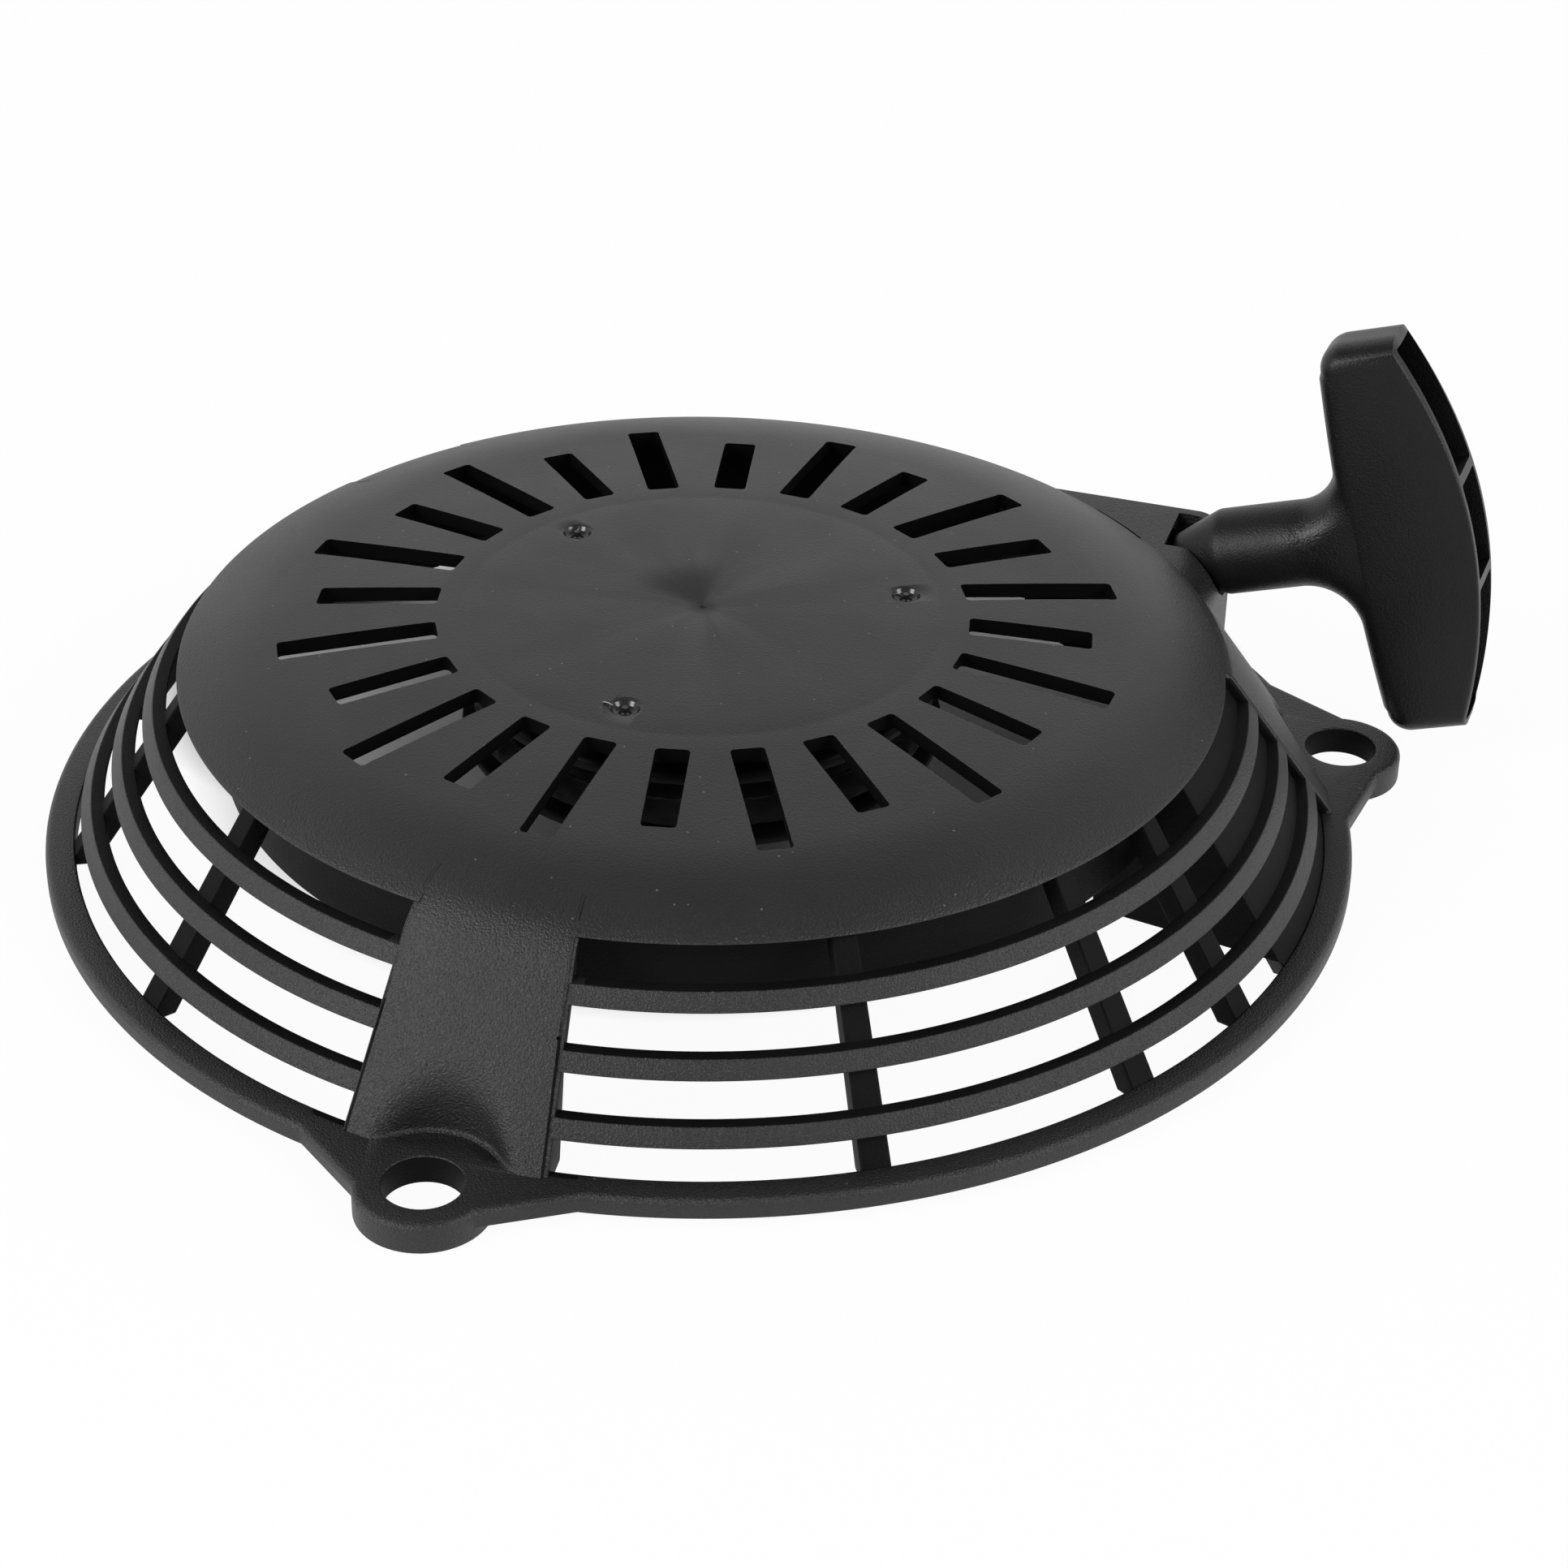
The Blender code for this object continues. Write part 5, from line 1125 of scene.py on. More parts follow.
def guide_cutters():
    """The box's hollow, the handle's seat in its end, and the rope's way in."""
    end = GUIDE_END - GUIDE_BLOCK
    out = GUIDE_OUT - GUIDE_WALL
    slope = (GUIDE_CORNER_IN - GUIDE_BACK) / (GUIDE_OUT - GUIDE_IN)
    inner = GUIDE_IN + (GUIDE_CORNER_IN - end) / slope - OVERSHOOT
    back = GUIDE_BACK + GUIDE_WALL * slope - OVERSHOOT
    hollow = slab(
        "guide_hollow",
        guide_plan([(end, inner), (end, out), (back, out)]),
        GUIDE_BOTTOM - OVERSHOOT,
        GUIDE_TOP - GUIDE_WALL,
    )
    half = NOTCH_HALF_WIDTH
    lift = GUIDE_TOP + OVERSHOOT - HANDLE_TIP.z
    section = [(half, lift), (half, 0)] + arc((0, 0), half, 0, -180, 24)[1:-1] + [(-half, 0), (-half, lift)]
    upright = Matrix(((0, 0, 1, 0), (1, 0, 0, 0), (0, 1, 0, 0), (0, 0, 0, 1)))
    place = Matrix.Rotation(GUIDE_YAW, 4, "Z") @ Matrix.Translation((0, NOTCH_OUT, HANDLE_TIP.z)) @ upright
    notch = slab("notch", section, GUIDE_END - NOTCH_DEPTH, GUIDE_END + OVERSHOOT, 0.0, place)
    taper_end = HANDLE_TIP + PULL * STEM_TAPER
    wide = STEM_RADIUS + STEM_CLEARANCE
    tip = HANDLE_TIP - PULL * STEM_CLEARANCE
    seat = rod("stem_seat", STEM_TIP_RADIUS + STEM_CLEARANCE, tip, taper_end, wide)
    clear = rod("stem_way", wide, taper_end - PULL * JOIN, HANDLE_TIP + PULL * (BAR_FACE - BAR_FILLET))
    entry = rope_leaves()[1]
    axis = eyelet_axis()
    reach = axis * (GUIDE_BLOCK - NOTCH_DEPTH + EYELET_LENGTH / 2)
    eyelet_hole = rod("eyelet_hole", EYELET_RADIUS + GAP, ROPE_BEND - reach, ROPE_BEND + reach)
    inward = (ROPE_BEND - entry).normalized()
    side = inward.cross(Vector((0, 0, 1))) * 2 * ROPE_RADIUS
    crossing = entry + inward * math.sqrt(BAFFLE_RADIUS**2 - LAYER_RADII[-1] ** 2)
    near = crossing - inward * 3 * BAFFLE_THICKNESS
    far = crossing + inward * 3 * BAFFLE_THICKNESS
    plan = [(p.x, p.y) for p in (near - side, far - side, far + side, near + side)]
    baffle_slot = slab("baffle_slot", plan, BAFFLE_BOTTOM - OVERSHOOT, SKIRT_BOTTOM - OVERSHOOT)
    return [hollow, notch, seat, clear, eyelet_hole, baffle_slot]


def rope_leaves():
    """The angle and the point at which the rope leaves the reel for the eyelet."""
    radius = LAYER_RADII[-1]
    distance = math.hypot(ROPE_BEND.x, ROPE_BEND.y)
    angle = math.atan2(ROPE_BEND.y, ROPE_BEND.x) + math.acos(radius / distance)
    return angle, Vector((radius * math.cos(angle), radius * math.sin(angle), HIGH_LOOP))


def eyelet_axis():
    """The eyelet stands square to the middle of the rope's bend."""
    return ((ROPE_BEND - rope_leaves()[1]).normalized() + PULL).normalized()


def gate_strings(finish):
    """Strings of plastic that the gates left when they broke off."""
    paths = []
    for degrees, turn, lean, length in ((0.0, 200.0, 0.9, 0.0021), (120.0, 70.0, 0.2, 0.0011), (240.0, 155.0, 0.7, 0.0034)):
        centre = Vector((GATE_CIRCLE, 0, dome(GATE_CIRCLE) - 0.0007))
        centre.rotate(Euler((0, 0, math.radians(degrees))))
        way = Vector((math.cos(math.radians(turn)), math.sin(math.radians(turn)), 0))
        points = []
        for step in range(19):
            share = step / 18
            rise = 0.0009 * math.sin(share * math.pi * 0.62)
            sway = Vector((-way.y, way.x, 0)) * 0.0003 * lean * math.sin(share * 5)
            points.append(centre + way * length * share + sway + Vector((0, 0, rise)))
        paths.append(points)
    made = [swept(f"gate_string_{number}", points, 0.00016, 8) for number, points in enumerate(paths, 1)]
    for piece in made:
        finished(piece, finish, "housing_black", "housing_body")


def make_housing(sizes, finishes):
    """The one moulding that carries everything else."""
    edge = sizes.edge_round
    first, *rings = grille_rings(edge)
    combine(first, rings, "UNION")
    combine(first, [band_cutter(degrees) for degrees in LUG_ANGLES], "DIFFERENCE")
    housing = disc_body()
    combine(housing, [rim_shaver(degrees) for degrees in LUG_ANGLES[1:]], "DIFFERENCE")
    added = [first] + grille_struts(edge) + grille_pads(sizes.lug_round, sizes.recess_blend)
    for degrees in LUG_ANGLES:
        added += lug_solids(degrees, sizes.lug_round)
    added.append(guide_box(edge))
    combine(housing, added, "UNION")
    cuts = [slot_cutter(index, sizes.slot_round) for index in range(SLOT_COUNT)]
    cuts += [gate_cutter(degrees, sizes.gate_radius) for degrees in LUG_ANGLES]
    cuts += [lug_cutter(degrees, edge * 0.8) for degrees in LUG_ANGLES]
    cuts += guide_cutters()
    combine(housing, cuts, "DIFFERENCE")
    colour = tuple(finishes.housing_colour)
    outside = moulded_plastic("housing_black", colour, 0.46, 0.00026, 0.5, 0.16, disc=True)
    finished(housing, outside, "housing_black", "housing_body", "housing")
    gate = moulded_plastic("gate_black", colour, 0.20, 0.00001, 0.5)
    # Painted shade: inner faces, band tops, pad side walls and lug hole walls get a darker, barely reflecting copy of
    # the black.
    housing.data.materials.append(moulded_plastic("housing_painted_shade", scaled(colour, 0.65), 0.55, 0.00008, 0.06))
    housing.data.materials.append(gate)
    # Painted shade: the slot walls get a still darker, nearly unreflecting copy of the black.
    housing.data.materials.append(moulded_plastic("slot_painted_shade", scaled(colour, 0.4), 0.6, 0.00004, 0.02))
    sort_faces(housing.data, sizes.gate_radius)
    gate_strings(gate)


def sort_faces(mesh, gate_radius):
    """Gives the moulding's inner faces a darker, matt copy of the black that paints shade on them, the slot walls a
    still darker copy as painted shade, and the gate pits their glossy one.
    """
    count = len(mesh.polygons)
    middle = np.empty(count * 3)
    normal = np.empty(count * 3)
    mesh.polygons.foreach_get("center", middle)
    mesh.polygons.foreach_get("normal", normal)
    x, y, z = middle.reshape(-1, 3).T
    nx, ny, nz = normal.reshape(-1, 3).T
    radius = np.hypot(x, y)
    outward = (nx * x + ny * y) / np.maximum(radius, 1e-6)
    along = x * math.cos(GUIDE_YAW) + y * math.sin(GUIDE_YAW)
    out = y * math.cos(GUIDE_YAW) - x * math.sin(GUIDE_YAW)
    from_bolt = np.full(count, 1.0)
    for degrees in LUG_ANGLES:
        turn = math.radians(degrees)
        away = np.hypot(x - LUG_CIRCLE * math.cos(turn), y - LUG_CIRCLE * math.sin(turn))
        from_bolt = np.minimum(from_bolt, away)
    scoop = (from_bolt < RECESS_RADIUS + 0.0040) & (outward > -0.25) & (nz > -0.3)
    # These masks pick the faces that get the darker finish as painted shade: all behind the grille's face, band tops
    # among them, slot walls, faces turned down or inward, lug holes' walls and pads' side walls, except on the guide
    # box.
    behind = (z < SKIRT_BOTTOM - JOIN) & (z > RING_TOP - JOIN) & (radius < cone(z) - 2 * JOIN) & ~scoop
    in_slot = (radius < SLOT_LONG + OVERSHOOT) & (nz < 0.4) & (z > SKIRT_BOTTOM)
    inside = behind | in_slot | (nz < -0.3) | ((outward < -0.3) & (radius > SLOT_LONG) & (nz < 0.5))
    inside |= (from_bolt < LUG_HOLE + JOIN) & (np.abs(nz) < 0.5)
    across = np.abs(ny * x - nx * y) / np.maximum(radius, 1e-6)
    inside |= (across > 0.8) & (z < SKIRT_BOTTOM - JOIN) & (z > RING_TOP + JOIN) & ~scoop
    box = (out > GUIDE_IN - JOIN) & (along > GUIDE_BACK) & (z > GUIDE_BOTTOM) & (nz > -0.3)
    box &= (z > GUIDE_TOP - GUIDE_WALL) | (out > GUIDE_OUT - JOIN) | (along > GUIDE_END - NOTCH_DEPTH)
    index = np.where(inside & ~box, 1, 0)
    # Slot walls take the darkest finish, as painted shade.
    index[in_slot & (radius > SLOT_INNER - OVERSHOOT)] = 3
    for degrees in LUG_ANGLES:
        turn = math.radians(degrees)
        away = np.hypot(x - GATE_CIRCLE * math.cos(turn), y - GATE_CIRCLE * math.sin(turn))
        index[(away < gate_radius) & (z > SKIRT_BOTTOM) & (z < dome(radius) - JOIN / 8)] = 2
    mesh.polygons.foreach_set("material_index", index.astype(np.int32))


def bar_section(y):
    """The bar's outline at a distance from its middle plane: its back and ends round off, its open side hardly."""
    depth = BAR_HALF_THICKNESS - abs(y)
    inset_here = float(back_inset(y))
    lip = 0.00045
    lip_inset = lip - math.sqrt(max(lip**2 - max(lip - depth, 0) ** 2, 0))
    half = BAR_HALF_LENGTH
    middle = (BAR_FACE + BAR_FACE_BOW + BAR_CORNER, half - BAR_CORNER)
    corner = arc(middle, BAR_CORNER - inset_here, 180, 90, 16)
    face = [(BAR_FACE + inset_here + BAR_FACE_BOW * s**2, half * s) for s in np.linspace(-0.85, 0.85, 25)]
    crown = []
    for s in np.linspace(1, -1, 49):
        crown.append((BAR_CROWN - lip_inset - BAR_END_DROP * s**2, (half - inset_here) * s))
    return corner + crown + [(x, -z) for x, z in corner[::-1]] + face


def bar_solid():
    """The handle's bar."""
    depths = [0.0, 0.00007, 0.00025, 0.00045, 0.0008, 0.0013, 0.0019, 0.0026, 0.0034, 0.0040, 0.0046, 0.0052]
    levels = [depth - BAR_HALF_THICKNESS for depth in depths]
    levels += [BAR_HALF_THICKNESS - depth for depth in depths[::-1]]
    rings = [[(x, y, z) for x, z in bar_section(y)] for y in levels]
    return lofted("handle_bar", rings)


def stem_sections():
    """Distances along the stem and its radii, before it spreads into the bar."""
    slope = (STEM_RADIUS - STEM_TIP_RADIUS) / STEM_TAPER
    sections = [(0.0, STEM_TIP_RADIUS - 0.0004), (0.0001, STEM_TIP_RADIUS - 0.0001)]
    for x in (0.0005, 0.0011, STEM_TAPER / 2, STEM_TAPER - 0.0010, STEM_TAPER - 0.0003):
        sections.append((x, STEM_TIP_RADIUS + slope * x))
    sections += [(STEM_TAPER + 0.0003, STEM_RADIUS), (STEM_TAPER + 0.0010, STEM_RADIUS)]
    return sections + [(x, STEM_RADIUS) for x in np.linspace(STEM_TAPER + 0.003, BAR_FACE - LOW_FILLET, 4)]


def stem_solid():
    """Round stem with a tapered tip, which spreads along the bar in two fillets and follows its rounded back."""
    angles = (np.arange(128) + 0.5) * math.tau / 128
    rings = []
    for x, radius in stem_sections():
        rings.append(np.column_stack([np.full(128, x), radius * np.sin(angles), radius * np.cos(angles)]))
    slim = BAR_HALF_THICKNESS - 0.00008
    lean = np.tanh(np.cos(angles) * 5)
    for share in np.sin(np.linspace(0.06, math.pi / 2, 26)):
        x = BAR_FACE - LOW_FILLET * (1 - share)
        reach = np.where(lean > 0, TOP_FILLET, LOW_FILLET)
        part = np.clip((x - BAR_FACE + reach) / reach, 0, 1)
        spread = reach * (1 - np.sqrt(np.maximum(1 - part**2, 0)))
        y = (STEM_RADIUS + (slim - STEM_RADIUS) * share) * np.sin(angles)
        z = STEM_RADIUS * np.cos(angles) + spread * lean
        bow = BAR_FACE_BOW * (z / BAR_HALF_LENGTH) ** 2
        rings.append(np.column_stack([x + share**3 * (back_inset(y) + bow), y, z]))
    last = rings[-1] * (1, 0.94, 0.97)
    last[:, 0] += 0.0016
    return lofted("handle_stem", rings + [last])


def back_inset(y):
    """How far the bar's back is rounded away at a distance from its middle plane."""
    past = np.clip((np.abs(y) - (BAR_HALF_THICKNESS - BAR_EDGE_REACH)) / BAR_EDGE_REACH, 0, 1)
    return BAR_EDGE_ROUND * (1 - (1 - past**BAR_EDGE_POWER) ** (1 / BAR_EDGE_POWER))


def pocket_cutters():
    """The three pockets of the bar's hollow."""
    upright = Matrix(((1, 0, 0, 0), (0, 0, -1, 0), (0, 1, 0, 0), (0, 0, 0, 1)))
    side = BAR_HALF_THICKNESS - BAR_WALL
    near = RIB_CENTRE - RIB_HALF_THICKNESS
    far = RIB_CENTRE + RIB_HALF_THICKNESS
    tip = BAR_HALF_LENGTH - BAR_WALL
    made = []
    for low, high in ((-near, near), (far, tip), (-tip, -far)):
        corners = [
            (POCKET_FLOOR, low, 0.0008),
            (BAR_CROWN + OVERSHOOT, low, 0),
            (BAR_CROWN + OVERSHOOT, high, 0),
            (POCKET_FLOOR, high, 0.0008),
        ]
        made.append(slab("pocket", rounded(corners), -side, side, 0.0006, upright))
    return made


def make_handle(sizes, finishes):
    """T handle, hollow on the pull side, with a round stem."""
    handle = bar_solid()
    combine(handle, [stem_solid()], "UNION")
    bore = rod("rope_bore", ROPE_HOLE, (-OVERSHOOT, 0, 0), (POCKET_FLOOR + OVERSHOOT, 0, 0), segments=SMALL_SEGMENTS)
    combine(handle, pocket_cutters() + [bore], "DIFFERENCE")
    handle.name = "handle_moulding"
    handle.data.transform(HANDLE_PLACE)
    spot = HANDLE_PLACE @ Vector((0.0235, -0.0067, 0.0016))
    finish = moulded_plastic(
        "handle_black", tuple(finishes.handle_colour), 0.40, 0.00008, 0.28, 0.05, rubbed_at=tuple(spot)
    )
    finished(handle, finish, "handle_black", "handle_body", "handle")


def make_reel(sizes, finishes):
    """Rope reel with the spring's pocket on top, the pawls' recesses below and a knot pocket."""
    wall_top = dome(SPRING_POCKET) - DISC_WALL - 0.0008
    wall = SPRING_POCKET + POCKET_WALL
    edge = sizes.edge_round
    corners = [
        (REEL_BORE, REEL_BOTTOM, edge),
        (REEL_BORE, SPRING_FLOOR, edge),
        (SPRING_POCKET, SPRING_FLOOR, edge),
        (SPRING_POCKET, wall_top, edge),
        (wall, wall_top, edge),
        (wall, UPPER_FLANGE_TOP, edge),
        (REEL_RADIUS, UPPER_FLANGE_TOP, 0.0008),
        (REEL_RADIUS, GROOVE_TOP, 0.0006),
        (GROOVE_RADIUS, GROOVE_TOP, 0.0010),
        (GROOVE_RADIUS, GROOVE_BOTTOM, 0.0010),
        (REEL_RADIUS, GROOVE_BOTTOM, 0.0006),
        (REEL_RADIUS, REEL_BOTTOM, 0.0008),
    ]
    reel = turned("reel_moulding", rounded(corners), REEL_SEGMENTS)
    cuts = [lightening_pocket(turn) for turn in (45, 135, 225, 315)]
    for side in (1, -1):
        foot = Matrix.Translation((side * PAWL_CIRCLE, 0, 0))
        cuts.append(blind_hole("spring_recess", RECESS_SPRING_RADIUS, RECESS_SPRING_DEPTH, edge, foot))
        cuts.append(blind_hole("pin_hole", PIN_RADIUS + GAP, PAWL_BOTTOM + PIN_LENGTH + GAP - REEL_BOTTOM, 0.0, foot))
    knot = Matrix.Translation((0, KNOT_PLACE, 0))
    cuts.append(blind_hole("knot_pocket", KNOT_RADIUS + 2 * GAP, 0.0060, edge, knot))
    hole = Vector((0, KNOT_PLACE - ROPE_RADIUS, LOW_LOOP))
    cuts.append(rod("knot_hole", ROPE_HOLE, hole, hole + Vector((0, GROOVE_RADIUS, 0)), segments=SMALL_SEGMENTS))
    combine(reel, cuts, "DIFFERENCE")
    finish = moulded_plastic("reel_black", tuple(finishes.reel_colour), 0.50, 0.00004, 0.06)
    finished(reel, finish, "reel_black", "reel_body", "reel")


def blind_hole(name, radius, depth, edge, place):
    """Cutter of a blind hole in the reel's underside."""
    low = REEL_BOTTOM - OVERSHOOT
    profile = [(0, low), (radius + edge, low)]
    profile += [(radius + edge * (1 - math.sin(q)), REEL_BOTTOM + edge * (1 - math.cos(q))) for q in quarter()]
    profile += [(radius, REEL_BOTTOM + depth), (0, REEL_BOTTOM + depth)]
    return turned(name, profile, HOLE_SEGMENTS, place)


def lightening_pocket(turn):
    """A shallow moulded pocket in the reel's underside, between the hub and the rim."""
    outer = 0.0335
    inner = 0.0255
    span = 30.0
    outline = arc((0, 0), outer, turn - span, turn + span, 20) + arc((0, 0), inner, turn + span, turn - span, 20)
    return slab("lightening", outline, REEL_BOTTOM - OVERSHOOT, REEL_BOTTOM + 0.0007)


def braid(length, angles):
    """Relief of a braided rope: strands that cross over and under."""
    turn = math.tau * length / BRAID_PERIOD
    over = np.maximum(np.cos(4 * angles + turn), np.cos(4 * angles - turn))
    return 0.045 * (over - 1)


def smooth(value):
    """An eased step from 0 to 1."""
    held = np.clip(value, 0, 1)
    return held * held * (3 - 2 * held)


def winding_path():
    """The rope on the reel: out of the knot's hole, and three layers of two loops, each stepping up or down once."""
    end_angle = rope_leaves()[0]
    turns = 5 + (math.pi / 2 - end_angle) / math.tau
    layer = 1.90
    t = np.linspace(0, turns, int(turns * (380)))
    radius = np.full(len(t), LAYER_RADII[0])
    height = np.full(len(t), LOW_LOOP)
    for index, reach in enumerate(np.diff(LAYER_RADII), 1):
        radius = radius + reach * smooth((t - index * layer + 0.06) / 0.06)
    for index in range(len(LAYER_RADII)):
        way = HIGH_LOOP - LOW_LOOP if index % 2 == 0 else LOW_LOOP - HIGH_LOOP
        height = height + way * smooth((t - index * layer - 0.90) / 0.06)
    angle = math.pi / 2 - math.tau * t
    loops = np.column_stack([radius * np.cos(angle), radius * np.sin(angle), height])
    return loops


def spliced(first, second, pull, count):
    """Points of a smooth bend between two points that leave along given ways."""
    start, start_way = first
    end, end_way = second
    t = np.linspace(0, 1, count)[:, None]
    near = start + start_way * pull
    far = end - end_way * pull
    return start * (1 - t) ** 3 + near * 3 * t * (1 - t) ** 2 + far * 3 * t**2 * (1 - t) + end * t**3


def resampled(path, step):
    """Points at an even step along a path."""
    path = np.asarray(path, float)
    length = np.concatenate([[0], np.cumsum(np.linalg.norm(np.diff(path, axis=0), axis=1))])
    marks = np.linspace(0, length[-1], max(2, int(length[-1] / step)))
    return np.column_stack([np.interp(marks, length, path[:, axis]) for axis in range(3)])


def knot_path(centre, axis, side, radius, rise):
    """An overhand knot: the rope runs in along an axis, round itself, and through its own loop."""
    axis = np.array(axis, float)
    side = np.array(side, float)
    third = np.cross(axis, side)
    t = np.linspace(0, 1, 90)
    turn = math.tau * 1.5 * t
    reach = radius * np.sin(math.pi * np.clip(t, 0, 1)) ** 0.5
    along = rise * (t + 0.35 * np.sin(math.tau * t))
    return (
        np.array(centre, float)
        + np.outer(along, axis)
        + np.outer(reach * np.cos(turn), side)
        + np.outer(reach * np.sin(turn), third)
    )


def make_rope(sizes, finishes):
    """The starter rope: knot in the reel, winding, run to the eyelet, line to the handle, and knot in the handle."""
    step = 0.0005
    around = 22
    finish = rope_finish("rope_black", tuple(finishes.rope_colour))
    winding = winding_path()
    angle, leaves = rope_leaves()
    run = np.array((ROPE_BEND - leaves).normalized())
    tail = np.array(leaves) + np.outer(np.linspace(0.0005, 0.0040, 8), run)
    path = resampled(np.concatenate([winding, tail]), step)
    wound = swept("rope_winding", path, ROPE_RADIUS, around, braid)
    finished(wound, finish, "rope_black", "reel_body", "rope_inner_layers", "rope_outer_layer")
    first = np.array(leaves) + run * 0.0043
    bend_in = np.array(ROPE_BEND) - run * BEND_RUN
    bend_out = np.array(HANDLE_TIP - PULL * 0.0030)
    t = np.linspace(0, 1, 24)[:, None]
    bend = bend_in * (1 - t) ** 2 + np.array(ROPE_BEND) * 2 * t * (1 - t) + bend_out * t**2
    line = swept("rope_line", resampled(np.concatenate([[first], bend]), step), ROPE_RADIUS, around, braid)
    finished(line, finish, "rope_black", "housing_body", "rope_run")
    stretch = np.array(HANDLE_TIP - PULL * 0.0031) + np.outer(np.linspace(0, 0.0034, 60), np.array(PULL))
    drawn = swept("rope_drawn", stretch, ROPE_RADIUS * 0.96, around)
    finished(drawn, rope_finish("rope_black_drawn", tuple(finishes.rope_colour), along_pull=True), "rope_black", None)
    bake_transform(drawn)
    make_knots(finish, step, around)


def make_knots(finish, step, around):
    """The rope's two ends: a stopper knot in the reel's underside and one in the handle's hollow."""
    centre = np.array((0, KNOT_PLACE, REEL_BOTTOM + 0.0012))
    low = knot_path(centre, (0, 0, 1), (1, 0, 0), 0.0017, 0.0024)
    way_out = spliced((low[-1], np.array((0, 0, 1.0))), (np.array((0, KNOT_PLACE + 0.0035, LOW_LOOP)), np.array((0, 1.0, 0))), 0.0012, 16)
    stub = np.array([(0, y, LOW_LOOP) for y in np.linspace(KNOT_PLACE + 0.0040, GROOVE_RADIUS, 10)])
    path = resampled(np.concatenate([low, way_out[1:], stub]), step)
    knot = swept("reel_knot", path, ROPE_RADIUS * 0.92, around, braid)
    finished(knot, finish, "rope_black", "reel_body", "rope_reel_knot")
    inside = np.array([(x, 0, 0) for x in np.linspace(0.0006, KNOT_WASHER_HIGH + 0.0004, 60)])
    low = knot_path((KNOT_WASHER_HIGH + 0.0012, 0, 0), (1, 0, 0), (0, 0, 1), 0.0023, 0.0058)
    turn = HANDLE_PLACE
    points = [turn @ Vector(point) for point in np.concatenate([inside, low])]
    end = swept("handle_knot", resampled(points, step), ROPE_RADIUS * 0.96, around, braid)
    finished(end, finish, "rope_black", "handle_body", "rope_handle_end")


def make_springs(sizes, finishes):
    """Rewind spring, the pawls' torsion springs and the friction spring."""
    finish = spring_finish("spring_steel", tuple(finishes.spring_colour))
    finished(rewind_spring(), finish, "spring_steel", "housing_body", "main_spring")
    for letter, side in (("a", 1), ("b", -1)):
        spring = pawl_spring(f"torsion_spring_{letter}", side)
        finished(spring, finish, "spring_steel", "reel_body", f"pawl_spring_{letter}")
    rise = 2 * FRICTION_PITCH
    start = (PLATE_TOP + REEL_BOTTOM - rise) / 2
    t = np.linspace(0, 2, 120)
    coil = np.column_stack(
        [FRICTION_COIL * np.cos(math.tau * t), FRICTION_COIL * np.sin(math.tau * t), start + FRICTION_PITCH * t]
    )
    finished(swept("friction_coil", coil, FRICTION_WIRE), finish, "spring_steel", "reel_body", "friction_spring")


def rewind_spring():
    """Flat strip wound from the post out to the pocket's wall, with a hook at each end."""
    bottom = SPRING_FLOOR + GAP
    top = dome(SPRING_POCKET) - DISC_WALL - 0.0008 - GAP
    inner = POST_RADIUS + GAP + SPRING_STRIP
    outer = SPRING_POCKET - GAP - SPRING_STRIP
    t = np.linspace(0, 1, SPRING_TURNS * (96))
    pitch = inner + (outer - inner) * (t + 0.06 * np.sin(math.tau * t))
    turn = math.tau * SPRING_TURNS * t
    edge = SPRING_STRIP * 0.4
    half = SPRING_STRIP / 2
    section = rounded([(-half, bottom, edge), (half, bottom, edge), (half, top, edge), (-half, top, edge)], 2)
    rings = []
    for radius, angle in zip(pitch, turn):
        rings.append([((radius + r) * math.cos(angle), (radius + r) * math.sin(angle), z) for r, z in section])
    return lofted("rewind_spring", rings)


def pawl_spring(name, side):
    """Torsion spring in the reel's recess, with one leg out over the pawl."""
    leg_height = REEL_BOTTOM - 0.00065
    pitch = 0.0013
    t = np.linspace(0, 2.2, 130)
    angle = math.pi + math.tau * t
    coil = np.column_stack([PAWL_COIL * np.cos(angle), PAWL_COIL * np.sin(angle), leg_height + pitch * t])
    leg = np.array([coil[0] + (0.0004 * s, -PAWL_LENGTH / 2 * s, 0) for s in np.linspace(1, 0.06, 14)])
    made = swept(name, np.concatenate([leg, coil]), PAWL_WIRE, 10)
    made.data.transform(Matrix.Translation((side * PAWL_CIRCLE, 0, 0)) @ Matrix.Rotation(0 if side > 0 else math.pi, 4, "Z"))
    return made


